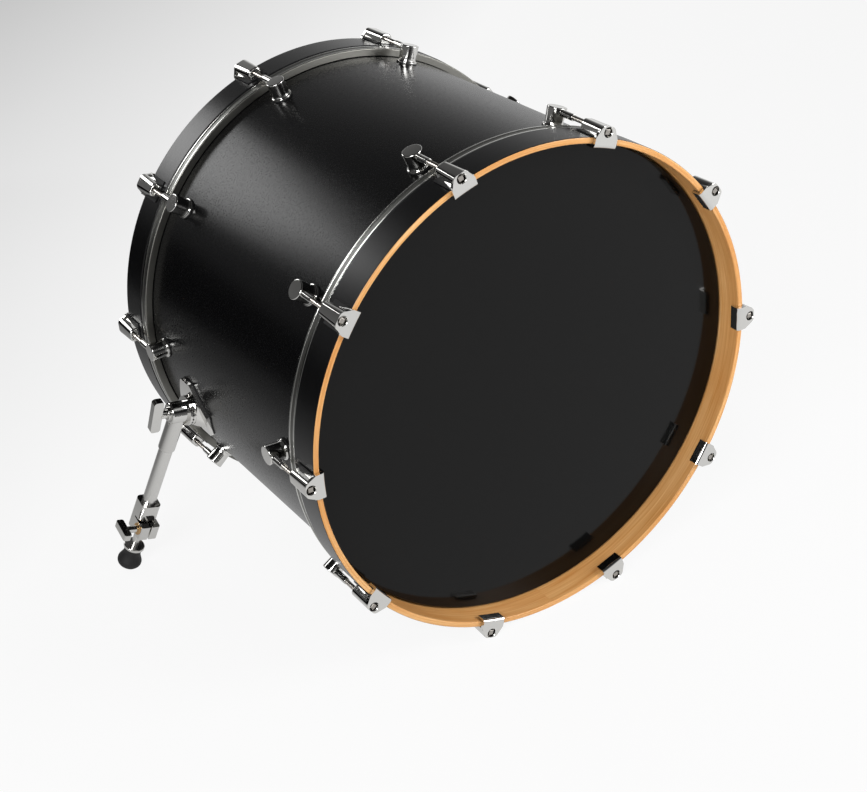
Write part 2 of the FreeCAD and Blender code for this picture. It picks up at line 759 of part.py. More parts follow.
def bracket_screw_spots():
    """The screws of a spur bracket, across and along the shell."""
    spots = []
    for across in ("-bracket_screw_pitch_up / 2", "bracket_screw_pitch_up / 2"):
        for along in ("- bracket_screw_pitch_along / 2", "+ bracket_screw_pitch_along / 2"):
            spots.append((across, f"{SPUR_LINE} {along}"))
    return spots


def spur_side(body):
    """Turns a body drawn at the top of the drum round to the left spur's place."""
    body.Placement = Placement(Vector(0, 0, value(HOOP_OUTSIDE)), Rotation(Y_AXIS, value(SPUR_TURN)))
    bind(body, "Placement.Rotation.Angle", SPUR_TURN)
    return on_axis(body)


def curved_plate(body, low, high):
    """A six-sided plate bent to the shell: an edge above and below, and a point to each side."""
    drop = f"({low} - sqrt({low}^2 - (bracket_height / 2)^2) + overrun)"
    half, side, end = "bracket_height / 2", "bracket_width / 2", "bracket_end_width / 2"
    outline = trace(new_sketch(body, "XY_Plane", ("0", "0", f"{low} - {drop}")), [
        (f"-{half}", f"{SPUR_LINE} - {end}", "bracket_round"),
        ("0", f"{SPUR_LINE} - {side}", "bracket_round"),
        (half, f"{SPUR_LINE} - {end}", "bracket_round"),
        (half, f"{SPUR_LINE} + {end}", "bracket_round"),
        ("0", f"{SPUR_LINE} + {side}", "bracket_round"),
        (f"-{half}", f"{SPUR_LINE} + {end}", "bracket_round"),
    ])
    pad(body, outline, f"{high} - {low} + {drop} + overrun")
    left, right = f"{SPUR_LINE} - bracket_width", f"{SPUR_LINE} + bracket_width"
    for near, far in (("0", low), (high, f"{high} + bracket_height")):
        ring = trace(new_sketch(body, "YZ_Plane"), [(left, near), (right, near), (right, far), (left, far)])
        revolve(body, ring, "H_Axis", cut=True)


def make_bracket():
    """The left spur's cast bracket: a plate bent to the shell, a tapered boss and a toothed pivot disc."""
    body = new_body("left_bracket")
    curved_plate(body, BRACKET_BASE, BRACKET_TOP)
    root = new_sketch(body, "XY_Plane", ("0", "0", f"{BRACKET_TOP} - boss_sink"))
    trace(root, block("0", SPUR_LINE, "boss_length", "boss_width", "boss_round"))
    seat = "(disc_lift - disc_wall)"
    lift = (f"{seat} * sin({PIVOT_TURN})", SPUR_LINE, f"{BRACKET_TOP} + {seat} * cos({PIVOT_TURN})")
    crown = new_sketch(body, "XY_Plane", lift, PIVOT_TURN)
    trace(crown, block("0", "0", "2 * disc_radius", "2 * disc_radius", "disc_corner"))
    loft(body, root, crown)
    disc = circle(new_sketch(body, "XY_Plane", lift, PIVOT_TURN), "0", "0", "disc_radius")
    pad(body, disc, "disc_wall")
    face = (f"disc_lift * sin({PIVOT_TURN})", SPUR_LINE, f"{BRACKET_TOP} + disc_lift * cos({PIVOT_TURN})")
    cut_teeth(body, face, PIVOT_TURN, disc, "-tooth_depth")
    hole = circle(new_sketch(body, "XY_Plane", face, PIVOT_TURN), "0", "0", "bolt_radius + running_fit")
    pad(body, hole, "disc_lift + bracket_wall", cut=True)
    holes = new_sketch(body, "XY_Plane", ("0", "0", f"{BRACKET_BASE} - 3 * overrun"))
    for across, along in bracket_screw_spots():
        circle(holes, across, along, "bracket_screw_radius + running_fit")
    pad(body, holes, "3 * overrun + bracket_screw_reach + seat_gap", reverse=True, cut=True)
    return spur_side(body)


def cut_teeth(body, face, turn, disc, depth):
    """Radial V-shaped grooves in a pivot disc. Depth is below the face, or above it if positive."""
    across, along, up = face
    sink = f"tooth_inner_radius * sin({turn})"
    reach = f"tooth_inner_radius * cos({turn})"
    start = (along, f"{up} - {sink}", f"{across} + {reach}")
    notch = trace(new_sketch(body, "YZ_Plane", start, turn, X_AXIS), [
        ("-tooth_width / 2", "0"),
        ("0", depth),
        ("tooth_width / 2", "0"),
    ])
    groove = pad(body, notch, "disc_radius - tooth_inner_radius + overrun", reverse=True, cut=True)
    spread_round(body, "tooth_count", (disc, ["N_Axis"]), [groove])


def make_spur_gasket():
    """The left spur's gasket: a thin sheet between the bracket and the shell."""
    body = new_body("left_spur_gasket")
    curved_plate(body, "shell_radius", BRACKET_BASE)
    holes = new_sketch(body, "XY_Plane", ("0", "0", f"{BRACKET_BASE} + overrun"))
    for across, along in bracket_screw_spots():
        circle(holes, across, along, "bracket_screw_radius + screw_hole_gap")
    pad(body, holes, "5 * overrun", cut=True)
    return spur_side(body)


def make_bracket_screws():
    """The left bracket's screws, driven from inside the shell, with broad heads."""
    body = new_body("left_bracket_screws")
    half_up = "(bracket_screw_pitch_up / 2)"
    seat = f"(sqrt({SHELL_INSIDE}^2 - {BRACKET_SCREW_EDGE}^2) - seat_gap)"
    tip = f"({BRACKET_BASE} + bracket_screw_reach)"
    shift = (f"{SPUR_LINE} - bracket_screw_pitch_along / 2", "0", f"-{half_up}")
    profile = trace(new_sketch(body, "YZ_Plane", shift), [
        ("0", f"{seat} - bracket_screw_head_height"),
        ("bracket_screw_head_radius", f"{seat} - bracket_screw_head_height", "screw_head_round"),
        ("bracket_screw_head_radius", seat),
        ("bracket_screw_radius", seat),
        ("bracket_screw_radius", tip),
        ("0", tip),
    ])
    revolve(body, profile)
    pattern = body.newObject("PartDesign::LinearPattern", "bracket_screw_grid")
    pattern.TransformMode = "Whole shape"
    pattern.Direction = (datum(body, "X_Axis"), [""])
    bind(pattern, "Length", "bracket_screw_pitch_up")
    pattern.Occurrences = 2
    pattern.Direction2 = (datum(body, "Y_Axis"), [""])
    bind(pattern, "Length2", "bracket_screw_pitch_along")
    pattern.Occurrences2 = 2
    body.Tip = pattern
    return spur_side(body)


def pivot_place():
    """The left spur's pivot: Z out along the T-bolt, X down along the leg before its splay."""
    outward = Rotation(Y_AXIS, value("pivot_tilt_angle - 90"))
    spot = Rotation(Y_AXIS, value(SPUR_TURN)).multVec(Z_AXIS) * value(BRACKET_TOP)
    spot += Y_AXIS * value(SPUR_LINE) + Z_AXIS * value(HOOP_OUTSIDE)
    spot += outward.multVec(Z_AXIS) * value("leg_offset")
    return Placement(spot, outward * Rotation(Z_AXIS, value("180 - leg_rake_angle")))


def leg_place():
    """The left leg's own place: X down along the tube, splayed outwards from the pivot's disc."""
    pivot = pivot_place()
    return Placement(pivot.Base, pivot.Rotation * Rotation(Y_AXIS, value("-leg_splay_angle")))


def make_socket():
    """The cast top of the leg: a toothed disc and hub on the pivot, and a collar that takes the tube."""
    body = new_body("left_leg_socket")
    collar = trace(new_sketch(body, "XY_Plane"), [
        ("-socket_back", "0"),
        ("-socket_back", "collar_radius", "socket_round"),
        ("socket_length", "collar_radius", "socket_round / 2"),
        ("socket_length", "0"),
    ])
    revolve(body, collar, "H_Axis")
    hub = trace(new_sketch(body, "XZ_Plane", turn="-leg_splay_angle", about=Z_AXIS), [
        ("0", LEG_DISC),
        ("disc_radius", LEG_DISC),
        ("disc_radius", f"{LEG_DISC} + disc_wall"),
        ("hub_radius", f"{LEG_DISC} + disc_wall"),
        ("hub_radius", "hub_height", "hub_round"),
        ("0", "hub_height"),
    ])
    revolve(body, hub)
    face = (f"{LEG_DISC} * sin(leg_splay_angle)", "0", f"{LEG_DISC} * cos(leg_splay_angle)")
    hole = new_sketch(body, "XY_Plane", face, "leg_splay_angle")
    circle(hole, "0", "0", "bolt_radius + bolt_clearance")
    cut_teeth(body, face, "leg_splay_angle", hole, "tooth_depth")
    pad(body, hole, f"hub_height - {LEG_DISC} + overrun", reverse=True, cut=True)
    mouth = new_sketch(body, "YZ_Plane", ("0", "0", "socket_length"))
    circle(mouth, "0", "0", "tube_radius + running_fit")
    pad(body, mouth, "socket_depth", cut=True)
    body.Placement = leg_place()
    return body


def make_tube():
    """The leg's steel tube, pressed into the socket."""
    body = new_body("left_leg_tube")
    profile = trace(new_sketch(body, "XY_Plane"), [
        (TUBE_TOP, "tube_radius - tube_wall"),
        (TUBE_TOP, "tube_radius"),
        (TUBE_END, "tube_radius"),
        (TUBE_END, "tube_radius - tube_wall"),
    ])
    revolve(body, profile, "H_Axis")
    body.Placement = leg_place()
    return body


def make_clamp():
    """The split clamp at the tube's end: its top grips the tube, its slit lower half grips the rod."""
    body = new_body("left_leg_clamp")
    shape = new_sketch(body, "YZ_Plane", ("0", "0", CLAMP_TOP))
    pad(body, trace(shape, block("0", "0", "clamp_body", "clamp_body", "clamp_round")), "clamp_length")
    ears = trace(new_sketch(body, "YZ_Plane", ("0", "0", f"{TUBE_END} + slit_width")), [
        ("0", "-ear_width / 2"),
        ("ear_reach", "-ear_width / 2", "ear_round"),
        ("ear_reach", "ear_width / 2", "ear_round"),
        ("0", "ear_width / 2"),
    ])
    pad(body, ears, "clamp_length - clamp_grip - slit_width")
    top = circle(new_sketch(body, "YZ_Plane", ("0", "0", CLAMP_TOP)), "0", "0", "tube_radius + running_fit")
    pad(body, top, "clamp_grip", reverse=True, cut=True)
    bore = new_sketch(body, "YZ_Plane", ("0", "0", CLAMP_END))
    circle(bore, "0", "0", "leg_rod_radius + running_fit")
    pad(body, bore, "clamp_length", cut=True)
    edge = "ear_reach + overrun"
    slot = new_sketch(body, "XY_Plane")
    slot_end = f"{TUBE_END} + slit_width"
    trace(slot, [(TUBE_END, "0"), (slot_end, "0"), (slot_end, edge), (TUBE_END, edge)])
    pad(body, slot, "clamp_body + 2 * overrun", both_ways=True, cut=True)
    slit = new_sketch(body, "XY_Plane")
    slit_end = f"{CLAMP_END} + overrun"
    trace(slit, [(TUBE_END, "0"), (slit_end, "0"), (slit_end, edge), (TUBE_END, edge)])
    pad(body, slit, "slit_width", both_ways=True, cut=True)
    hole = new_sketch(body, "XY_Plane")
    circle(hole, CLAMP_SCREW, "clamp_screw_offset", "clamp_screw_radius + running_fit")
    pad(body, hole, "clamp_body + 2 * overrun", both_ways=True, cut=True)
    body.Placement = leg_place()
    return body


def make_clamp_washer():
    """The washer between the wing screw and the clamp."""
    body = new_body("left_clamp_washer")
    ring = new_sketch(body, "XY_Plane", (CLAMP_SCREW, "clamp_screw_offset", "ear_width / 2 + seat_gap"))
    circle(ring, "0", "0", "clamp_washer_radius")
    circle(ring, "0", "0", "clamp_screw_radius + screw_hole_gap")
    pad(body, ring, "clamp_washer_wall")
    body.Placement = leg_place()
    return body


def make_clamp_screw():
    """The wing screw that draws the clamp's ears together: a threaded end, a stem and a cross bar."""
    body = new_body("left_clamp_screw")
    face = "(ear_width / 2 + clamp_washer_wall + 2 * seat_gap)"
    stem_top = f"({face} + clamp_stem_length)"
    shift = (CLAMP_SCREW, "0", "-clamp_screw_offset")
    profile = trace(new_sketch(body, "XZ_Plane", shift), [
        ("0", "-ear_width / 2 - overrun"),
        ("clamp_screw_radius", "-ear_width / 2 - overrun"),
        ("clamp_screw_radius", face),
        ("clamp_stem_radius", face),
        ("clamp_stem_radius", stem_top),
        ("0", stem_top),
    ])
    revolve(body, profile)
    wing_middle = f"{stem_top} + wing_height / 2 - bar_sink"
    wing = new_sketch(body, "YZ_Plane", ("clamp_screw_offset", wing_middle, CLAMP_SCREW))
    trace(wing, block("0", "0", "wing_length", "wing_height", "wing_round"))
    pad(body, wing, "wing_thickness", both_ways=True)
    body.Placement = leg_place()
    return body


def make_leg_rod():
    """The rod that slides in the tube, turned to a spike at its foot."""
    body = new_body("left_leg_rod")
    top = f"({TUBE_END} - leg_rod_hidden)"
    profile = trace(new_sketch(body, "XY_Plane"), [
        (top, "0"),
        (top, "leg_rod_radius"),
        (f"{LEG_LENGTH} - spike_setback - spike_length", "leg_rod_radius"),
        (f"{LEG_LENGTH} - spike_setback", "0"),
    ])
    revolve(body, profile, "H_Axis")
    body.Placement = leg_place()
    return body


def make_foot_collar():
    """The threaded metal disc that carries the rubber foot on the rod."""
    body = new_body("left_foot_collar")
    bore = "leg_rod_radius + running_fit"
    profile = trace(new_sketch(body, "XY_Plane"), [
        (FOOT_COLLAR_TOP, bore),
        (FOOT_COLLAR_TOP, "foot_collar_radius", "foot_collar_round"),
        (FOOT_TOP, "foot_collar_radius", "foot_collar_round"),
        (FOOT_TOP, bore),
    ])
    revolve(body, profile, "H_Axis")
    body.Placement = leg_place()
    return body


def make_foot():
    """The bell-shaped rubber foot, bored for the spike and pressed flat where it meets the floor."""
    body = new_body("left_rubber_foot")
    bore = "leg_rod_radius + foot_bore_gap"
    end = f"({LEG_LENGTH} - foot_setback)"
    profile = trace(new_sketch(body, "XY_Plane"), [
        (FOOT_TOP, bore),
        (FOOT_TOP, "foot_top_radius"),
        (f"{FOOT_TOP} + foot_waist", "foot_top_radius", "foot_flare_round"),
        (f"{end} - foot_round - foot_rim", "foot_radius", "foot_rim_round"),
        (end, "foot_radius", "foot_round"),
        (end, bore),
    ])
    revolve(body, profile, "H_Axis")
    floor = new_sketch(body, "XY_Plane", (LEG_LENGTH, "0", "0"))
    floor.AttachmentOffset = Placement(Vector(value(LEG_LENGTH), 0, 0), leg_place().Rotation.inverted())
    trace(floor, block("0", "0", "6 * foot_radius", "6 * foot_radius", "foot_radius"))
    pad(body, floor, "2 * foot_radius", cut=True)
    body.Placement = leg_place()
    return body


def make_t_bolt():
    """The T-bolt that locks the leg's disc against the bracket's."""
    body = new_body("left_t_bolt")
    seat = "(hub_height + seat_gap)"
    collar = f"({seat} + bolt_collar_wall)"
    neck = f"({collar} + bolt_neck_length)"
    tip = "(disc_lift - leg_offset - bolt_depth)"
    profile = trace(new_sketch(body, "XZ_Plane"), [
        ("0", tip),
        ("bolt_radius", tip),
        ("bolt_radius", seat),
        ("bolt_collar_radius", seat),
        ("bolt_collar_radius", collar, "nut_round"),
        ("bolt_neck_radius", collar),
        ("bolt_neck_radius", neck),
        ("0", neck),
    ])
    revolve(body, profile)
    bar = new_sketch(body, "XZ_Plane", ("0", f"{neck} + bar_height / 2 - bar_sink", "0"))
    trace(bar, block("0", "0", "bar_length", "bar_height", "bar_round"))
    pad(body, bar, "bar_thickness", both_ways=True)
    body.Placement = pivot_place()
    return body


pieces = [
    make_shell(),
    make_hoop("batter", "-"),
    make_hoop("resonant", ""),
    make_ply("batter_inner_ply", "-", "0", "ply_thickness"),
    make_ply("batter_outer_ply", "-", "(ply_thickness + ply_gap)", "ply_thickness"),
    make_ply("resonant_film", "", "0", "resonant_ply_thickness"),
    make_rim("batter", "-"),
    make_rim("resonant", ""),
    gather("resin_beads", [
        make_resin("batter", "-", BATTER_FILM),
        make_resin("resonant", "", "resonant_ply_thickness"),
    ]),
]

for make, label in ((make_claw, "resonant_claws"), (make_claw_pads, "resonant_claw_pads")):
    near = make()
    pieces += [near, link(label, near, end_place("resonant", 1))]

rod = make_rod()
for end in ("batter", "resonant"):
    for number in range(1, SIZES["lug_count"] + 1):
        pieces.append(link(f"{end}_rod_{number:02d}", rod, end_place(end, 2 * number - 1)))

lug_sets = (
    (make_lugs, "lugs"),
    (make_lug_gaskets, "lug_gaskets"),
    (make_nuts, "receiver_nuts"),
    (make_lug_screws, "lug_screws"),
    (make_lug_washers, "lug_washers"),
)
for make, label in lug_sets:
    near = make()
    pieces.append(gather(label, [near, link(f"resonant_{label}", near, end_place("resonant", 1))]))

for make, label in ((make_spur_gasket, "spur_gaskets"), (make_bracket_screws, "bracket_screws")):
    left = make()
    pieces.append(gather(label, [left, mirrored(f"right_{label}", left)]))

spur_makers = (
    make_bracket,
    make_socket,
    make_tube,
    make_clamp,
    make_clamp_washer,
    make_clamp_screw,
    make_leg_rod,
    make_foot_collar,
    make_foot,
    make_t_bolt,
)
for make in spur_makers:
    left = make()
    pieces += [left, mirrored(left.Label.replace("left", "right"), left)]

doc.recompute()
for thing in doc.Objects:
    if "Invalid" in thing.State or "Error" in thing.State:
        raise RuntimeError(f"{thing.Label} failed: {thing.getStatusString()}")
for piece in pieces:
    if piece.Shape.isNull() or not piece.Shape.isValid():
        raise RuntimeError(f"{piece.Label} has no valid shape")

os.makedirs("parts", exist_ok=True)
for piece in pieces:
    piece.Shape.exportStep(f"parts/{piece.Label}.step")
    print(f"{piece.Label}: {len(piece.Shape.Solids)} solids, {piece.Shape.Volume:.0f} mm3")
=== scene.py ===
import bmesh
import bpy
import math
from mathutils import Matrix, Vector


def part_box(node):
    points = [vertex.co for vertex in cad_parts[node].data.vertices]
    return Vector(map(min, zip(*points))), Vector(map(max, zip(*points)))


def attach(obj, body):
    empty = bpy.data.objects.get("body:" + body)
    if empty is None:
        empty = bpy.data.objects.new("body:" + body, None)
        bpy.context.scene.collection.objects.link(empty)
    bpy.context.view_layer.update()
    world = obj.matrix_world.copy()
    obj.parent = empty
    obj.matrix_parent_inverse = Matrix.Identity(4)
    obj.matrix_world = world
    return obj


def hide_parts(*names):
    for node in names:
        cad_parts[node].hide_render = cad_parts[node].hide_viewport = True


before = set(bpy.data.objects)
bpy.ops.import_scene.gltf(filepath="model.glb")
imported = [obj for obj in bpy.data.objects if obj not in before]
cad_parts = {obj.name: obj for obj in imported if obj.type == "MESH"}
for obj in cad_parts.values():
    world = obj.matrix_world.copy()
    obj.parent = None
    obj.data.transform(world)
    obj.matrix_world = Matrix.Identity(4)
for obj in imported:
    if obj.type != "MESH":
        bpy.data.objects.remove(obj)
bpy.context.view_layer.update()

# Shell: birch plies bent into a tube, glued, and sprayed outside with a satin black lacquer.
# Both ends are cut to a peaked bearing edge that the heads rest on.
MM = 0.001
ALONG = Vector((0, 1, 0))
UP = Vector((0, 0, 1))
low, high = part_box("shell")
shell_radius = (high.x - low.x) / 2
shell_end = high.y
shell_wall = 7 * MM
edge_inset = 2 * MM
drum_axis = Vector((0, 0, (low.z + high.z) / 2))
ROUND_STEPS = 240
WELD = 0.002 * MM
SLIVER = 0.004 * MM


def linear(code):
    """An sRGB hex colour as the linear colour that a shader socket takes."""
    parts = [int(code[i:i + 2], 16) / 255 for i in (1, 3, 5)]
    return [p / 12.92 if p <= 0.04045 else ((p + 0.055) / 1.055) ** 2.4 for p in parts] + [1]


def add(tree, kind, sockets=None, **options):
    """Adds one shader node. Options are its own settings; sockets take values, or outputs to link in."""
    made = tree.nodes.new(f"ShaderNode{kind}")
    for option, setting in options.items():
        setattr(made, option, setting)
    for socket, value in (sockets or {}).items():
        if isinstance(value, bpy.types.NodeSocket):
            tree.links.new(value, made.inputs[socket])
        else:
            made.inputs[socket].default_value = value
    return made


def new_finish(name, sockets):
    """A material with its Principled shader set, and the piece's own coordinates in metres."""
    material = bpy.data.materials.new(name)
    material.use_nodes = True
    tree = material.node_tree
    shader = tree.nodes["Principled BSDF"]
    for socket, value in sockets.items():
        shader.inputs[socket].default_value = value
    return material, tree, shader, add(tree, "TexCoord").outputs["Object"]


def turned(corners, centre, along, steps, ring=True):
    """A solid turned about an axis, from corners (reach, radius), or (reach, radius, ease) where round."""
    bm = bmesh.new()
    aside = along.orthogonal().normalized()
    points = [bm.verts.new(centre + along * corner[0] + aside * corner[1]) for corner in corners]
    pairs = list(zip(points, points[1:]))
    if ring:
        pairs.append((points[-1], points[0]))
    for pair in pairs:
        bm.edges.new(pair)
    for point, corner in zip(points, corners):
        if len(corner) > 2:
            bmesh.ops.bevel(bm, geom=[point], offset=corner[2], segments=5, profile=0.5, affect="VERTICES",
                            material=-1)
    bmesh.ops.spin(bm, geom=bm.verts[:] + bm.edges[:], cent=centre, axis=along, angle=math.tau, steps=steps,
                   use_merge=True)
    bmesh.ops.remove_doubles(bm, verts=bm.verts, dist=WELD)
    bmesh.ops.recalc_face_normals(bm, faces=bm.faces)
    return bm


def piece(name, bm, material, body, slot, *nodes):
    """Makes a finished mesh an object that rides on a body and stands for some nodes."""
    bmesh.ops.remove_doubles(bm, verts=bm.verts, dist=SLIVER)
    bmesh.ops.dissolve_degenerate(bm, edges=bm.edges, dist=SLIVER)
    mesh = bpy.data.meshes.new(name)
    bm.to_mesh(mesh)
    bm.free()
    mesh.shade_smooth()
    mesh.set_sharp_from_angle(angle=math.radians(35))
    mesh.materials.append(material)
    made = bpy.data.objects.new(name, mesh)
    bpy.context.scene.collection.objects.link(made)
    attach(made, body)
    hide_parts(*nodes)
    shading = made.modifiers.new("even_shading", "WEIGHTED_NORMAL")
    shading.keep_sharp = True
    return made


# Satin lacquer, sprayed and flatted: a broad soft sheen, broken up by a fine orange-peel skin.
# The peel is under a millimetre across on the real shell, and is drawn coarser so that it shows.
peel_size = 1.8 * MM
lacquer, tree, shader, place = new_finish("satin_black_lacquer", {"Base Color": linear("#0a0a0b"),
                                                              "IOR": 1.33})
peel = add(tree, "TexNoise", {"Vector": place, "Scale": 1 / peel_size, "Detail": 2.0})
sheen = add(tree, "MapRange", {"Value": peel.outputs["Fac"], "From Min": 0.3, "From Max": 0.7,
                               "To Min": 0.2, "To Max": 0.3})
skin = add(tree, "Bump", {"Height": peel.outputs["Fac"], "Strength": 0.09, "Distance": 0.04 * MM})
tree.links.new(sheen.outputs["Result"], shader.inputs["Roughness"])
tree.links.new(skin.outputs["Normal"], shader.inputs["Normal"])
slope = shell_wall - edge_inset
shell = turned([
    (slope - shell_end, shell_radius - shell_wall),
    (-shell_end, shell_radius - edge_inset),
    (edge_inset - shell_end, shell_radius),
    (shell_end - edge_inset, shell_radius),
    (shell_end, shell_radius - edge_inset),
    (shell_end - slope, shell_radius - shell_wall),
], drum_axis, ALONG, ROUND_STEPS)
piece("lacquered_shell", shell, lacquer, "drum", "black_lacquer_wood", "shell")

# Screws and washers inside the shell: zinc-plated steel, out of sight once the heads are on.
# They hold the lugs and the spur brackets, and their solids show as they are.


def coat(material, *nodes):
    """Puts a material on solids that show as they are."""
    for name in nodes:
        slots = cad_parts[name].data.materials
        slots.clear()
        slots.append(material)


# Bright zinc plate: a grey metal with a faintly clouded sheen.
cloud_size = 3 * MM
zinc, tree, shader, place = new_finish("zinc_plate", {"Base Color": linear("#a9abad"), "Metallic": 1.0})
cloud = add(tree, "TexNoise", {"Vector": place, "Scale": 1 / cloud_size, "Detail": 3.0})
dull = add(tree, "MapRange", {"Value": cloud.outputs["Fac"], "To Min": 0.3, "To Max": 0.5})
tree.links.new(dull.outputs["Result"], shader.inputs["Roughness"])
coat(zinc, "lug_screws", "lug_washers", "bracket_screws")

# Gaskets: thin black rubber sheet, cut out and laid under each lug and spur bracket.
# They keep the plated castings off the lacquer.
# Moulded rubber: matt and nearly black, with a fine grit and a slight bloom, drawn as coarse as it shows.
grit_size = 0.9 * MM
rubber, tree, shader, place = new_finish("moulded_rubber", {"Base Color": linear("#1b1b1c")})
grit = add(tree, "TexNoise", {"Vector": place, "Scale": 1 / grit_size, "Detail": 2.0})
bloom = add(tree, "MapRange", {"Value": grit.outputs["Fac"], "To Min": 0.5, "To Max": 0.74})
grain = add(tree, "Bump", {"Height": grit.outputs["Fac"], "Strength": 0.35, "Distance": 0.06 * MM})
tree.links.new(bloom.outputs["Result"], shader.inputs["Roughness"])
tree.links.new(grain.outputs["Normal"], shader.inputs["Normal"])
coat(rubber, "lug_gaskets", "spur_gaskets")

# Lugs: turned brass posts, polished and chrome plated, one on the shell for each tension rod.
# A screw from inside the shell holds each post, and a cross bore takes the rod's threaded sleeve.
LUG_COUNT = 10
low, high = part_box("receiver_nuts")
sleeve_radius = 3.9 * MM
rod_circle = (high.x - low.x) / 2 - sleeve_radius
sleeve_mouth = high.y
sleeve_reach = 31 * MM
sleeve_inset = 7 * MM
sleeve_bore = 2.85 * MM
bore_gap = 0.05 * MM
gasket_wall = 1 * MM
lug_cap = 4.8 * MM
lug_line = sleeve_mouth - sleeve_reach
lug_foot = shell_radius + gasket_wall
lug_top = rod_circle + lug_cap
lug_radius = 11.2 * MM
flange_radius = 12.2 * MM
flange_height = 1.8 * MM
flange_step = 0.4 * MM
neck_radius = 10.6 * MM
waist_radius = 10.2 * MM
waist_height = 5 * MM
crown_radius = 10.8 * MM
crown_depth = 7 * MM
LUG_STEPS = 48
BORE_STEPS = 32


def combined(first, second, way):
    """Joins a second solid to a first, or cuts it away."""
    solids = []
    for bm in (first, second):
        mesh = bpy.data.meshes.new("blank")
        bm.to_mesh(mesh)
        bm.free()
        solids.append(bpy.data.objects.new("blank", mesh))
        bpy.context.scene.collection.objects.link(solids[-1])
    modifier = solids[0].modifiers.new("combine", "BOOLEAN")
    modifier.operation = way
    modifier.solver = "MANIFOLD"
    modifier.object = solids[1]
    made = bmesh.new()
    made.from_object(solids[0], bpy.context.evaluated_depsgraph_get())
    for solid in solids:
        mesh = solid.data
        bpy.data.objects.remove(solid)
        bpy.data.meshes.remove(mesh)
    return made


def ring_of(bm, count):
    """Repeats one piece, drawn at the top of the batter end, round the drum from half a step on."""
    step = math.tau / count
    bmesh.ops.rotate(bm, verts=bm.verts, cent=drum_axis, matrix=Matrix.Rotation(step / 2, 3, "Y"))
    bmesh.ops.spin(bm, geom=bm.verts[:] + bm.edges[:] + bm.faces[:], cent=drum_axis, axis=ALONG,
                   angle=math.tau - step, steps=count - 1, use_duplicate=True)
    return bm


def on_both_ends(bm):
    """Adds the resonant end's twin of everything at the batter end."""
    bmesh.ops.spin(bm, geom=bm.verts[:] + bm.edges[:] + bm.faces[:], cent=Vector(), axis=UP, angle=math.pi,
                   steps=1, use_duplicate=True)
    return bm


# Chrome plate over polished metal: mirror bright, with faint smears left by handling.
smear_size = 7 * MM
chrome, tree, shader, place = new_finish("polished_chrome", {"Base Color": linear("#dcdbd8"),
                                                             "Metallic": 1.0})
smear = add(tree, "TexNoise", {"Vector": place, "Scale": 1 / smear_size, "Detail": 4.0})
polish = add(tree, "MapRange", {"Value": smear.outputs["Fac"], "From Min": 0.35, "From Max": 0.7,
                                "To Min": 0.05, "To Max": 0.11})
tree.links.new(polish.outputs["Result"], shader.inputs["Roughness"])
lug_spot = drum_axis - ALONG * lug_line
lug = turned([
    (lug_foot, 0),
    (lug_foot, flange_radius),
    (lug_foot + flange_height, flange_radius, 0.8 * MM),
    (lug_foot + flange_height + flange_step, neck_radius, 0.5 * MM),
    (lug_foot + waist_height, waist_radius, 1.2 * MM),
    (lug_top - crown_depth, crown_radius, 1.5 * MM),
    (lug_top, lug_radius, 1.3 * MM),
    (lug_top, 0),
], lug_spot, UP, LUG_STEPS, ring=False)
bore_spot = drum_axis + UP * rod_circle
bore = turned([
    (-sleeve_mouth, 0),
    (-sleeve_mouth, sleeve_radius + bore_gap),
    (sleeve_inset - lug_line, sleeve_radius + bore_gap),
    (sleeve_inset - lug_line, 0),
], bore_spot, ALONG, BORE_STEPS, ring=False)
lugs = on_both_ends(ring_of(combined(lug, bore, "DIFFERENCE"), LUG_COUNT))
piece("turret_lugs", lugs, chrome, "drum", "chrome_casting", "lugs")

# Receiver sleeves: turned and plated steel tubes, threaded inside, that stand out of the lugs.
# The mouth is eased so that the rod finds its thread.
mouth_length, mouth_inset, mouth_ease = 2.6 * MM, 0.2 * MM, 0.5 * MM
sleeve = turned([
    (-sleeve_mouth, sleeve_bore),
    (-sleeve_mouth, sleeve_radius - mouth_inset, mouth_ease),
    (mouth_length - sleeve_mouth, sleeve_radius, mouth_ease),
    (sleeve_inset - lug_line, sleeve_radius),
    (sleeve_inset - lug_line, sleeve_bore),
], bore_spot, ALONG, BORE_STEPS)
piece("receiver_sleeves", on_both_ends(ring_of(sleeve, LUG_COUNT)), chrome, "drum", "chrome_steel",
      "receiver_nuts")

# Heads: polyester film, formed over the bearing edge into a collar whose skirt is cast into the rim.
# The batter head has two plies, and only the outer one shows.
skirt_length = 18.55 * MM
skirt_end = shell_end - skirt_length
film_bend = 2 * MM
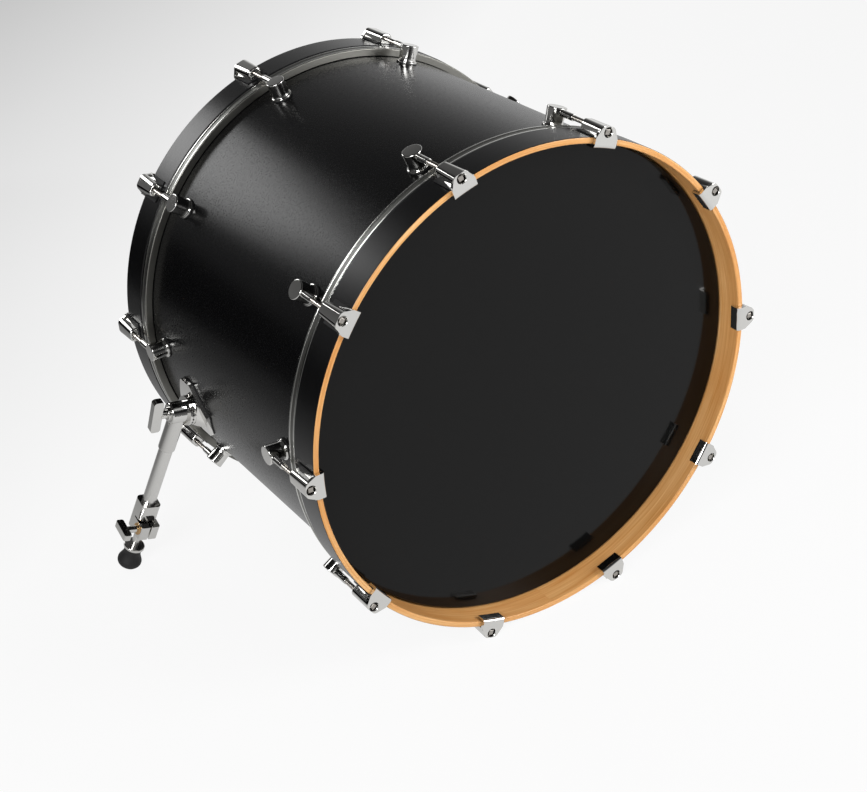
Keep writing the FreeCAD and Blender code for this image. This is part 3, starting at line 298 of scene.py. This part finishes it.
# Extruded film: glossy, with faint waves from the pull of the rods and a trace of dust in the sheen.
film, tree, shader, place = new_finish("gloss_black_film", {"Base Color": linear("#090909"),
                                                            "IOR": 1.28})
wave_size = 60 * MM
wave = add(tree, "TexNoise", {"Vector": place, "Scale": 1 / wave_size, "Detail": 1.0})
ripple = add(tree, "Bump", {"Height": wave.outputs["Fac"], "Strength": 0.05, "Distance": 0.3 * MM})
dust_size = 1.5 * MM
dust = add(tree, "TexNoise", {"Vector": place, "Scale": 1 / dust_size, "Detail": 3.0})
gloss = add(tree, "MapRange", {"Value": dust.outputs["Fac"], "From Min": 0.3, "From Max": 0.75,
                               "To Min": 0.07, "To Max": 0.14})
tree.links.new(gloss.outputs["Result"], shader.inputs["Roughness"])
tree.links.new(ripple.outputs["Normal"], shader.inputs["Normal"])
film_wall = 0.18 * MM
for name, node, side in (("batter_film", "batter_outer_ply", -1),
                         ("resonant_film_sheet", "resonant_film", 1)):
    low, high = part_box(node)
    outside = (high.x - low.x) / 2
    face = max(-low.y, high.y)
    sheet = turned([
        (side * (face - film_wall), 0),
        (side * (face - film_wall), outside - film_wall, film_bend),
        (side * skirt_end, outside - film_wall),
        (side * skirt_end, outside),
        (side * face, outside, film_bend + film_wall),
        (side * face, 0),
    ], drum_axis, ALONG, ROUND_STEPS, ring=False)
    piece(name, sheet, film, "drum", "black_film", node)
coat(film, "batter_inner_ply")

# Rims: aluminium strip rolled to a channel and welded into a ring, filled with resin round the skirt.
# A rolled bead runs along each edge of the outer wall.
rim_wall = 1.2 * MM
rim_width = 9.2 * MM
bead = 0.6 * MM
front_bead, rear_bead = 3.8 * MM, 2.8 * MM
front_slope = 0.4 * MM
low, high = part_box("batter_head_rim")
outside = (high.x - low.x) / 2
# Rolled aluminium: fine lines run round the ring; the beads are rubbed smooth, and the band between them is
# rougher and painted darker, a painted shade.
# The closed side of the channel, towards the shell, is rougher too and painted darker still, a painted
# shade.
aluminium, tree, shader, place = new_finish("rolled_aluminium", {"Metallic": 1.0})
line_gap, line_length = 0.7 * MM, 166.667 * MM
stretch = add(tree, "Mapping", {"Vector": place, "Scale": (1 / line_length, 1 / line_gap, 1 / line_length)})
lines = add(tree, "TexNoise", {"Vector": stretch.outputs["Vector"], "Scale": 1.0, "Detail": 2.0})
satin = add(tree, "MapRange", {"Value": lines.outputs["Fac"], "To Min": 0.1, "To Max": 0.22})
satin = satin.outputs["Result"]
middle = add(tree, "Mapping", {"Vector": place, "Location": (0, 0, -drum_axis.z)})
flat = add(tree, "VectorMath", {0: middle.outputs["Vector"], 1: (1, 0, 1)}, operation="MULTIPLY")
radius = add(tree, "VectorMath", {0: flat.outputs["Vector"]}, operation="LENGTH").outputs["Value"]
dull_and_shaded = add(tree, "Math", {0: radius, 1: outside - bead, 2: bead / 2}, operation="COMPARE")
dull_and_shaded = dull_and_shaded.outputs["Value"]
reach = add(tree, "SeparateXYZ", {"Vector": place}).outputs["Y"]
reach = add(tree, "Math", {0: reach}, operation="ABSOLUTE").outputs["Value"]
closed_depth = 0.7 * MM
closed_side_shade = add(tree, "Math", {0: reach, 1: closed_depth - high.y}, operation="LESS_THAN").outputs["Value"]
dull_and_shaded = add(tree, "Math", {0: dull_and_shaded, 1: closed_side_shade}, operation="MAXIMUM").outputs["Value"]
rough = add(tree, "Math", {0: dull_and_shaded, 1: 0.24, 2: satin}, operation="MULTIPLY_ADD").outputs["Value"]
# Painted shade: a darker metal colour on the band between the beads, and a darker one still on the closed
# side.
shade = add(tree, "Mix", {"Factor": dull_and_shaded, "A": linear("#dadad6"), "B": linear("#8c8c88")},
            data_type="RGBA")
shade = add(tree, "Mix", {"Factor": closed_side_shade, "A": shade.outputs["Result"], "B": linear("#85847f")},
            data_type="RGBA")
tree.links.new(shade.outputs["Result"], shader.inputs["Base Color"])
tree.links.new(rough, shader.inputs["Roughness"])
for end, side in (("batter", -1), ("resonant", 1)):
    low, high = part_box(f"{end}_head_rim")
    outside = (high.x - low.x) / 2
    inside = outside - rim_width
    mouth = max(-low.y, high.y)
    floor = min(abs(low.y), abs(high.y))
    channel = turned([
        (side * mouth, inside),
        (side * mouth, inside + rim_wall),
        (side * (floor + rim_wall), inside + rim_wall),
        (side * (floor + rim_wall), outside - rim_wall),
        (side * mouth, outside - rim_wall),
        (side * mouth, outside, 1.15 * MM),
        (side * (mouth - front_bead), outside, 2.4 * MM),
        (side * (mouth - front_bead - front_slope), outside - bead, 0.1 * MM),
        (side * (floor + rear_bead + bead), outside - bead, 0.3 * MM),
        (side * (floor + rear_bead), outside, 0.3 * MM),
        (side * floor, outside, 1.4 * MM),
        (side * floor, inside, 0.6 * MM),
    ], drum_axis, ALONG, ROUND_STEPS)
    piece(f"{end}_rim_channel", channel, aluminium, "drum", "rim_aluminium", f"{end}_head_rim")

# Resin beads: epoxy poured into each channel, where it sets round the film's skirt and holds it.
# They are hidden inside the rims, and their solids stay as they are.
# Cast epoxy: amber and half glossy, with a slow flow in the sheen.
resin, tree, shader, place = new_finish("cast_epoxy", {"Base Color": linear("#94804f")})
flow = add(tree, "TexNoise", {"Vector": place, "Scale": 1 / cloud_size, "Detail": 2.0})
glaze = add(tree, "MapRange", {"Value": flow.outputs["Fac"], "To Min": 0.25, "To Max": 0.45})
tree.links.new(glaze.outputs["Result"], shader.inputs["Roughness"])
coat(resin, "resin_beads")

# Hoops: maple plies steamed and bent round a form, with a long glued scarf, then eased along the edges.
# The inside and the edges are clear lacquered, and the outside is sprayed black like the shell.
hoop_ease = 1.4 * MM
low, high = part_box("batter_hoop")
hoop_outside = (high.x - low.x) / 2
hoop_wall = 6.9 * MM
hoop_inside = hoop_outside - hoop_wall
hoop_rear, hoop_front = -high.y, -low.y
# Maple cut along the grain: amber, with fibres that run round the hoop and faint glue lines on the edge.
# The coordinates are unrolled, so the pattern follows the bend: angle round the drum, width, and radius.
maple, tree, shader, place = new_finish("lacquered_maple", {"IOR": 1.42})
middle = add(tree, "Mapping", {"Vector": place, "Location": (0, 0, -drum_axis.z)})
parts = add(tree, "SeparateXYZ", {"Vector": middle.outputs["Vector"]}).outputs
angle = add(tree, "Math", {0: parts["X"], 1: parts["Z"]}, operation="ARCTAN2").outputs["Value"]
flat = add(tree, "CombineXYZ", {"X": parts["X"], "Y": 0.0, "Z": parts["Z"]}).outputs["Vector"]
radius = add(tree, "VectorMath", {0: flat}, operation="LENGTH").outputs["Value"]
unrolled = add(tree, "CombineXYZ", {"X": angle, "Y": parts["Y"], "Z": radius}).outputs["Vector"]
fibre_length, fibre_width = 70 * MM, 1.3 * MM
fibres = add(tree, "Mapping", {"Vector": unrolled,
                               "Scale": (hoop_outside / fibre_length, 1 / fibre_width, 1 / fibre_width)})
grain = add(tree, "TexNoise", {"Vector": fibres.outputs["Vector"], "Scale": 1.0, "Detail": 4.0})
figure_length, figure_width = 160 * MM, 14 * MM
figure = add(tree, "Mapping", {"Vector": unrolled,
                               "Scale": (hoop_outside / figure_length, 1 / figure_width, 1 / figure_width)})
bands = add(tree, "TexNoise", {"Vector": figure.outputs["Vector"], "Scale": 1.0, "Detail": 2.0})
wood = add(tree, "ValToRGB", {"Fac": grain.outputs["Fac"]})
wood.color_ramp.elements[0].position = 0.3
wood.color_ramp.elements[0].color = linear("#e2a25a")
wood.color_ramp.elements[1].position = 0.7
wood.color_ramp.elements[1].color = linear("#f7c78b")
tint = add(tree, "ValToRGB", {"Fac": bands.outputs["Fac"]})
tint.color_ramp.elements[0].position = 0.3
tint.color_ramp.elements[0].color = linear("#ecd9bf")
tint.color_ramp.elements[1].position = 0.7
tint.color_ramp.elements[1].color = linear("#ffffff")
timber = add(tree, "Mix", {"Factor": 1.0, "A": wood.outputs["Color"], "B": tint.outputs["Color"]},
             data_type="RGBA", blend_type="MULTIPLY")
ply_gap, glue_width = 1.9 * MM, 0.228 * MM
plies = add(tree, "Math", {0: radius, 1: ply_gap}, operation="MODULO").outputs["Value"]
glue = add(tree, "MapRange", {"Value": plies, "From Min": 0.0, "From Max": glue_width,
                              "To Min": 0.82, "To Max": 1.0}).outputs["Result"]
lined = add(tree, "Mix", {"Factor": 1.0, "A": timber.outputs["Result"], "B": glue},
            data_type="RGBA", blend_type="MULTIPLY")
paint_depth, paint_skin = 0.5 * MM, 0.3 * MM
painted = add(tree, "MapRange", {"Value": radius, "From Min": hoop_outside - paint_depth,
                                 "From Max": hoop_outside - paint_skin}).outputs["Result"]
reach = add(tree, "Math", {0: parts["Y"]}, operation="ABSOLUTE").outputs["Value"]
rear = add(tree, "Math", {0: reach, 1: hoop_rear + hoop_ease}, operation="LESS_THAN").outputs["Value"]
painted = add(tree, "Math", {0: painted, 1: rear}, operation="MAXIMUM").outputs["Value"]
skinned = add(tree, "Mix", {"Factor": painted, "A": lined.outputs["Result"], "B": linear("#0c0c0d")},
              data_type="RGBA")
matt = add(tree, "MapRange", {"Value": painted, "To Min": 0.28, "To Max": 0.27}).outputs["Result"]
pores = add(tree, "Bump", {"Height": grain.outputs["Fac"], "Strength": 0.12, "Distance": 0.05 * MM})
tree.links.new(skinned.outputs["Result"], shader.inputs["Base Color"])
tree.links.new(matt, shader.inputs["Roughness"])
tree.links.new(pores.outputs["Normal"], shader.inputs["Normal"])
for end, side in (("batter", -1), ("resonant", 1)):
    hoop = turned([
        (side * hoop_rear, hoop_inside, hoop_ease),
        (side * hoop_rear, hoop_outside, hoop_ease),
        (side * hoop_front, hoop_outside, hoop_ease),
        (side * hoop_front, hoop_inside, hoop_ease),
    ], drum_axis, ALONG, ROUND_STEPS)
    piece(f"{end}_hoop_ring", hoop, maple, f"{end}_ring", "hoop_maple", f"{end}_hoop")

# Claw pads: black rubber liners folded round the hoop's edge inside each claw.
# Their solids show as they are, as a dark line round the chrome.
coat(rubber, "batter_claw_pads", "resonant_claw_pads")

# Claws: zinc castings, polished and chrome plated, that hook over the front edge of the hoop.
# The hood behind the plate is hollow, with a wing on each side that lies on the hoop.
# A stepped bore in the plate sinks the head of the rod.
CASTING_EASE = 0.5 * MM
SHARP = math.radians(32)


def eased_copy(node, ease):
    """A merged copy of a node's solid, with its sharp edges rounded off."""
    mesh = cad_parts[node].data.copy()
    mesh.attributes.remove(mesh.attributes["custom_normal"])
    bm = bmesh.new()
    bm.from_mesh(mesh)
    bpy.data.meshes.remove(mesh)
    bmesh.ops.remove_doubles(bm, verts=bm.verts, dist=WELD)
    bmesh.ops.dissolve_limit(bm, angle_limit=math.radians(0.5), verts=bm.verts, edges=bm.edges)
    sharp = [edge for edge in bm.edges if edge.calc_face_angle(0) > SHARP]
    bmesh.ops.bevel(bm, geom=sharp, offset=ease, segments=2, profile=0.5, affect="EDGES", material=-1,
                    clamp_overlap=True)
    return bm


def hood_block(width, foot, top, ease, length, taper, nose_ease=0):
    """A block behind a claw's plate, with round shoulders, that narrows from the plate to the nose."""
    bm = bmesh.new()
    spots = ((-width / 2, foot), (-width / 2, top), (width / 2, top), (width / 2, foot))
    corners = [bm.verts.new(bore_spot + Vector((across, plate_inside - claw_face, height)))
               for across, height in spots]
    bm.faces.new(corners)
    bmesh.ops.bevel(bm, geom=corners[1:3], offset=ease, segments=6, profile=0.5, affect="VERTICES",
                    material=-1)
    drawn = bmesh.ops.extrude_face_region(bm, geom=bm.faces[:])["geom"]
    nose = [part for part in drawn if isinstance(part, bmesh.types.BMVert)]
    bmesh.ops.translate(bm, verts=nose, vec=ALONG * length)
    bmesh.ops.scale(bm, verts=nose, vec=(taper, 1, 1))
    if nose_ease:
        rim = [edge for edge in bm.edges if all(vert in nose for vert in edge.verts)]
        bmesh.ops.bevel(bm, geom=rim, offset=nose_ease, segments=4, profile=0.5, affect="EDGES",
                        material=-1)
    bmesh.ops.recalc_face_normals(bm, faces=bm.faces)
    return bm


def at_end(bm, turn):
    """Turns pieces drawn at the batter end about the upright, to the end that they belong to."""
    bmesh.ops.rotate(bm, verts=bm.verts, cent=Vector(), matrix=Matrix.Rotation(turn, 3, "Z"))
    return bm


low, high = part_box("batter_claws")
claw_face = -low.y
plate_inside = 1 * MM
wing_wall = 2 * MM
hood_foot = hoop_outside + 1.1 * MM - rod_circle
hood = hood_block(width=21.2 * MM, foot=hood_foot, top=6.1 * MM, ease=6.5 * MM, length=35.4 * MM,
                  taper=0.8, nose_ease=2.2 * MM)
wings = hood_block(width=28.4 * MM, foot=hood_foot, top=hood_foot + wing_wall, ease=0.6 * MM,
                   length=29 * MM, taper=0.53)
hollow = hood_block(width=19.4 * MM, foot=hood_foot - wing_wall, top=4.7 * MM, ease=6.9 * MM,
                    length=40 * MM, taper=0.43)
cheeks = ring_of(combined(combined(hood, wings, "UNION"), hollow, "DIFFERENCE"), LUG_COUNT)
recess_depth, recess_radius, recess_mouth = 7.6 * MM, 5.3 * MM, 5.8 * MM
recess_flare, overshoot = 0.7 * MM, 1 * MM
RECESS_STEPS = 40
hook_drop = 4.2 * MM
hook_inside = hoop_inside - hook_drop
hook_bend = 4.5 * MM
spare = 2 * MM
for end, turn, outward in (("batter", 0, -ALONG), ("resonant", math.pi, ALONG)):
    recess = turned([
        (-claw_face - overshoot, 0),
        (-claw_face - overshoot, recess_mouth),
        (-claw_face, recess_mouth),
        (recess_flare - claw_face, recess_radius, 0.3 * MM),
        (recess_depth - claw_face, recess_radius, 0.5 * MM),
        (recess_depth - claw_face, 0),
    ], bore_spot, ALONG, RECESS_STEPS, ring=False)
    recess = at_end(ring_of(recess, LUG_COUNT), turn)
    claws = combined(eased_copy(f"{end}_claws", CASTING_EASE), at_end(cheeks.copy(), turn), "UNION")
    claws = combined(claws, recess, "DIFFERENCE")
    corner = turned([
        (claw_face + spare, hook_inside - spare),
        (claw_face - hook_bend, hook_inside - spare),
        (claw_face - hook_bend, hook_inside),
        (claw_face, hook_inside, hook_bend - 0.2 * MM),
        (claw_face, hook_inside + hook_bend),
        (claw_face + spare, hook_inside + hook_bend),
    ], drum_axis, outward, ROUND_STEPS)
    claws = combined(claws, corner, "DIFFERENCE")
    piece(f"{end}_claw_castings", claws, chrome, f"{end}_ring", "chrome_casting", f"{end}_claws")
cheeks.free()

# Tension rods: plated steel with a square forged head, a round collar under it, and a rolled thread.
# Each hangs in its claw by the collar and screws into the sleeve of a lug.
# Plated steel with a film of oil: darker and duller than the chrome beside it.
steel, tree, shader, place = new_finish("oiled_steel", {"Base Color": linear("#aaa59f"),
                                                        "Metallic": 1.0})
oil = add(tree, "TexNoise", {"Vector": place, "Scale": 1 / cloud_size, "Detail": 3.0})
dull = add(tree, "MapRange", {"Value": oil.outputs["Fac"], "To Min": 0.16, "To Max": 0.34})
tree.links.new(dull.outputs["Result"], shader.inputs["Roughness"])
low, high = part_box("batter_rod_01")
rod_head, rod_tip = -low.y, -high.y
collar_face = rod_head - 6 * MM
collar_rear = rod_head - 7.6 * MM
collar_radius = 4.4 * MM
rod_radius = 2.8 * MM
thread_pitch = 1.058 * MM
thread_root = rod_radius - 0.5 * MM
tip_length, tip_gap, collar_overlap = 3 * MM, 1 * MM, 0.5 * MM
thread_end = rod_tip + tip_length
TURNS = 52
TURN_STEPS = 16
THREAD_WELD = 0.02 * MM
thread = bmesh.new()
corners = [thread.verts.new(bore_spot + ALONG * -(thread_end + reach * thread_pitch) + UP * radius)
           for reach, radius in ((0, thread_root), (0.44, rod_radius),
                                 (0.56, rod_radius), (1, thread_root))]
for pair in zip(corners, corners[1:]):
    thread.edges.new(pair)
bmesh.ops.spin(thread, geom=thread.verts[:] + thread.edges[:], cent=bore_spot, axis=ALONG,
               angle=-math.tau * TURNS, steps=TURNS * TURN_STEPS, dvec=ALONG * (-thread_pitch / TURN_STEPS))
bmesh.ops.remove_doubles(thread, verts=thread.verts, dist=THREAD_WELD)
middle_reach = -(thread_end + TURNS * thread_pitch / 2)
for reach, radius in ((-rod_tip - tip_gap, thread_root), (-collar_rear - collar_overlap, rod_radius)):
    tip_side = reach > middle_reach
    rim = [edge for edge in thread.edges
           if edge.is_boundary and (edge.verts[0].co.y > middle_reach) == tip_side]
    drawn = bmesh.ops.extrude_edge_only(thread, edges=rim)["geom"]
    for vert in (part for part in drawn if isinstance(part, bmesh.types.BMVert)):
        spoke = (vert.co - bore_spot) * Vector((1, 0, 1))
        vert.co = bore_spot + ALONG * reach + spoke.normalized() * radius
bmesh.ops.remove_doubles(thread, verts=thread.verts, dist=THREAD_WELD)
bmesh.ops.holes_fill(thread, edges=[edge for edge in thread.edges if edge.is_boundary], sides=0)
bmesh.ops.recalc_face_normals(thread, faces=thread.faces)
collar = turned([
    (-collar_rear, 0),
    (-collar_rear, collar_radius, 0.3 * MM),
    (-collar_face, collar_radius, 0.5 * MM),
    (-collar_face, 0),
], bore_spot, ALONG, BORE_STEPS, ring=False)
head_width = 5.8 * MM
head_ease = 0.5 * MM
head_length = rod_head - collar_face + 0.4 * MM
head = bmesh.new()
bmesh.ops.create_cube(head, size=1)
bmesh.ops.scale(head, verts=head.verts, vec=(head_width, head_length, head_width))
bmesh.ops.translate(head, verts=head.verts, vec=bore_spot - ALONG * (rod_head - head_length / 2))
bmesh.ops.bevel(head, geom=head.edges, offset=head_ease, segments=3, profile=0.5, affect="EDGES",
                material=-1)
rod = combined(combined(thread, collar, "UNION"), head, "UNION")
for end, turn in (("batter", 0), ("resonant", math.pi)):
    for number in range(1, LUG_COUNT + 1):
        own = rod.copy()
        round_drum = Matrix.Rotation((2 * number - 1) * math.pi / LUG_COUNT, 3, "Y")
        bmesh.ops.rotate(own, verts=own.verts, cent=drum_axis, matrix=round_drum)
        node = f"{end}_rod_{number:02d}"
        piece(f"{end}_key_rod_{number:02d}", at_end(own, turn), steel, node, "chrome_steel", node)
rod.free()

# Spur brackets: thick chrome-plated steel plates that lie on the shell, with a post for the leg's pivot.
# Screws from inside the shell hold each one, over its gasket.
for side in ("left", "right"):
    piece(f"{side}_pivot_bracket", eased_copy(f"{side}_bracket", CASTING_EASE), chrome, "drum",
          "chrome_casting", f"{side}_bracket")

# Leg sockets: zinc castings with a toothed disc that meshes with the bracket's, chrome plated.
# The tube is pressed into each socket, and a split clamp is pressed on the tube's far end.
FINE_EASE = 0.3 * MM
for side in ("left", "right"):
    piece(f"{side}_toothed_socket", eased_copy(f"{side}_leg_socket", FINE_EASE), chrome, f"{side}_leg",
          "chrome_casting", f"{side}_leg_socket")
    piece(f"{side}_split_clamp", eased_copy(f"{side}_leg_clamp", CASTING_EASE), chrome, f"{side}_leg",
          "chrome_casting", f"{side}_leg_clamp")

# Leg tubes and sliding rods: drawn steel with satin nickel plate, which is dull and a little warm.
# The rod runs in the tube and ends in a spike that the rubber foot covers.
satin_steel, tree, shader, place = new_finish("satin_nickel", {"Base Color": linear("#e4e3e0"),
                                                               "Metallic": 1.0})
haze = add(tree, "TexNoise", {"Vector": place, "Scale": 1 / smear_size, "Detail": 3.0})
brush = add(tree, "MapRange", {"Value": haze.outputs["Fac"], "To Min": 0.24, "To Max": 0.36})
tree.links.new(brush.outputs["Result"], shader.inputs["Roughness"])
for side in ("left", "right"):
    piece(f"{side}_drawn_tube", eased_copy(f"{side}_leg_tube", FINE_EASE), satin_steel, f"{side}_leg",
          "satin_steel", f"{side}_leg_tube")
    piece(f"{side}_sliding_rod", eased_copy(f"{side}_leg_rod", FINE_EASE), satin_steel, f"{side}_slider",
          "satin_steel", f"{side}_leg_rod")

# T-bolts and clamp screws: steel with forged cross bars, chrome plated, turned by hand.
# The T-bolt locks the leg's angle, and the clamp screw locks the rod, over a brass washer.
# Dull brass: a warm yellow metal whose sheen is uneven with tarnish.
brass, tree, shader, place = new_finish("dull_brass", {"Base Color": linear("#d3ac78"),
                                                       "Metallic": 1.0})
tarnish = add(tree, "TexNoise", {"Vector": place, "Scale": 1 / cloud_size, "Detail": 3.0})
dull = add(tree, "MapRange", {"Value": tarnish.outputs["Fac"], "To Min": 0.25, "To Max": 0.42})
tree.links.new(dull.outputs["Result"], shader.inputs["Roughness"])
for side in ("left", "right"):
    piece(f"{side}_pivot_bolt", eased_copy(f"{side}_t_bolt", CASTING_EASE), chrome, f"{side}_t_bolt",
          "chrome_steel", f"{side}_t_bolt")
    piece(f"{side}_lock_screw", eased_copy(f"{side}_clamp_screw", FINE_EASE), chrome, f"{side}_clamp_screw",
          "chrome_steel", f"{side}_clamp_screw")
    piece(f"{side}_lock_washer", eased_copy(f"{side}_clamp_washer", FINE_EASE), brass,
          f"{side}_clamp_screw", "brass", f"{side}_clamp_washer")

# Feet: moulded rubber bells, screwed on the rod's end, with a chrome lock disc above each.
# Screwing the foot back bares the spike.
DISC_EASE = 0.2 * MM
for side in ("left", "right"):
    piece(f"{side}_lock_disc", eased_copy(f"{side}_foot_collar", DISC_EASE), chrome, f"{side}_foot",
          "chrome_steel", f"{side}_foot_collar")
    piece(f"{side}_bell_foot", eased_copy(f"{side}_rubber_foot", FINE_EASE), rubber, f"{side}_foot",
          "black_rubber", f"{side}_rubber_foot")

# Studio: a pale paper floor that falls off behind the drum, soft boxes round it, and the camera.
# The paper is white to the camera and keeps the drum's shadow. Mirrors see it dimmer behind and on the
# left, as they would see the dark end of a room.
FLOOR_SIZE = 14.0
bm = bmesh.new()
bmesh.ops.create_grid(bm, x_segments=1, y_segments=1, size=FLOOR_SIZE / 2)
mesh = bpy.data.meshes.new("paper_floor")
bm.to_mesh(mesh)
bm.free()
paper = bpy.data.objects.new("paper_floor", mesh)
bpy.context.scene.collection.objects.link(paper)
MATT = {"Roughness": 0.9, "Specular IOR Level": 0.0}
white, tree, shader, place = new_finish("white_paper", {"Base Color": linear("#f0f0f0"), **MATT})
ray = add(tree, "LightPath").outputs
CAMERA_GLOW, MIRROR_GLOW = 0.9, 0.8
seen = add(tree, "Math", {0: ray["Is Camera Ray"], 1: CAMERA_GLOW}, operation="MULTIPLY")
seen = seen.outputs["Value"]
other = add(tree, "Math", {0: ray["Is Glossy Ray"], 1: ray["Is Transmission Ray"]}, operation="ADD")
lit = add(tree, "Math", {0: other.outputs["Value"], 1: MIRROR_GLOW, 2: seen}, operation="MULTIPLY_ADD")
lit = lit.outputs["Value"]
back_turn = -math.radians(40.9)
rearward = add(tree, "Mapping", {"Vector": place, "Rotation": (0, 0, back_turn)}).outputs["Vector"]
depth = add(tree, "SeparateXYZ", {"Vector": rearward}).outputs["Y"]
fade = add(tree, "MapRange", {"Value": depth, "From Min": 0.5, "From Max": 2.3,
                              "To Min": 1.0, "To Max": 0.5})
dim = add(tree, "MapRange", {"Value": depth, "From Min": 0.1, "From Max": 1.0,
                             "To Min": 0.82, "To Max": 0.12})
across = add(tree, "SeparateXYZ", {"Vector": place}).outputs["X"]
right = add(tree, "MapRange", {"Value": across, "From Min": -0.1, "From Max": 0.7, "To Max": 0.8})
dim = add(tree, "Math", {0: dim.outputs["Result"], 1: right.outputs["Result"]}, operation="MAXIMUM")
strength = add(tree, "Mix", {"Factor": ray["Is Camera Ray"], "A": dim.outputs["Value"],
                             "B": fade.outputs["Result"]}).outputs["Result"]
glow = add(tree, "Emission", {"Color": linear("#ffffff"), "Strength": strength})
mixed = add(tree, "MixShader", {0: lit, 1: shader.outputs["BSDF"], 2: glow.outputs["Emission"]})
tree.links.new(mixed.outputs["Shader"], tree.nodes["Material Output"].inputs["Surface"])
mesh.materials.append(white)

# The room's wall is pale at floor height and darker above and to the left, where it hangs in shade.
world = bpy.data.worlds.new("studio")
world.use_nodes = True
bpy.context.scene.world = world
tree = world.node_tree
backdrop = tree.nodes["Background"]
place = add(tree, "TexCoord").outputs["Generated"]
height = add(tree, "SeparateXYZ", {"Vector": place}).outputs["Z"]
strength = add(tree, "MapRange", {"Value": height, "From Min": 0.0, "From Max": 0.66, "To Min": 0.8,
                                  "To Max": 0.06}, interpolation_type="SMOOTHSTEP").outputs["Result"]
across = add(tree, "SeparateXYZ", {"Vector": place}).outputs["X"]
wall = add(tree, "MapRange", {"Value": across, "From Min": -0.3, "From Max": 0.25,
                              "To Min": 0.18, "To Max": 1.0},
           interpolation_type="SMOOTHSTEP").outputs["Result"]
strength = add(tree, "Math", {0: strength, 1: wall}, operation="MULTIPLY").outputs["Value"]
seen = add(tree, "LightPath").outputs["Is Camera Ray"]
strength = add(tree, "Mix", {"Factor": seen, "A": strength, "B": CAMERA_GLOW}).outputs["Result"]
tree.links.new(strength, backdrop.inputs["Strength"])
backdrop.inputs["Color"].default_value = linear("#ffffff")

# A black card behind the drum to the left, hidden from the camera, gives the gloss its dark edge.
card_width, card_height = 1.7, 0.5
card_turn = math.radians(30)
card_spot = (-0.85, 1.2, 0.255)
bm = bmesh.new()
bmesh.ops.create_grid(bm, x_segments=1, y_segments=1, size=0.5)
bmesh.ops.scale(bm, verts=bm.verts, vec=(card_width, card_height, 1))
bmesh.ops.rotate(bm, verts=bm.verts, matrix=Matrix.Rotation(math.pi / 2, 3, "X"))
bmesh.ops.rotate(bm, verts=bm.verts, matrix=Matrix.Rotation(card_turn, 3, "Z"))
bmesh.ops.translate(bm, verts=bm.verts, vec=card_spot)
mesh = bpy.data.meshes.new("black_card")
bm.to_mesh(mesh)
bm.free()
card = bpy.data.objects.new("black_card", mesh)
bpy.context.scene.collection.objects.link(card)
card.visible_camera = False
black, tree, shader, place = new_finish("black_card", {"Base Color": linear("#0c0c0c"), **MATT})
mesh.materials.append(black)


def soft_box(name, spot, aim, width, height, power):
    """A rectangular lamp that faces a point."""
    lamp = bpy.data.lights.new(name, "AREA")
    lamp.shape = "RECTANGLE"
    lamp.size, lamp.size_y = width, height
    lamp.energy = power
    made = bpy.data.objects.new(name, lamp)
    bpy.context.scene.collection.objects.link(made)
    made.location = spot
    made.rotation_euler = (Vector(aim) - Vector(spot)).to_track_quat("-Z", "Y").to_euler()


soft_box("rear_box", (-0.82, 2.1, 1.36), (-0.15, 0, 0.4), 0.9, 0.75, 9)
soft_box("key_box", (-2.1, -1.6, 1.9), (0, 0, 0.3), 1.4, 1.0, 56)
soft_box("right_box", (1.3, -1.3, 1.0), (0.1, 0, 0.3), 0.9, 0.9, 24)

# The camera stands where the photograph's did, to the left of the batter head and above it.
camera_spot = (-0.887369, -1.495783, 1.177062)
azimuth, elevation, roll = (math.radians(turn) for turn in (-30.615, 29.715, -4.644))
back = Vector((math.sin(azimuth) * math.cos(elevation), -math.cos(azimuth) * math.cos(elevation),
               math.sin(elevation)))
across = UP.cross(back).normalized()
facing = Matrix((across, back.cross(across), back)).transposed().to_4x4()
view = bpy.data.cameras.new("camera")
view.sensor_width = 36
view.lens = 67.155
camera = bpy.data.objects.new("camera", view)
bpy.context.scene.collection.objects.link(camera)
camera.matrix_world = Matrix.Translation(camera_spot) @ facing @ Matrix.Rotation(roll, 4, "Z")
bpy.context.scene.camera = camera
bpy.context.scene.view_settings.view_transform = "Standard"
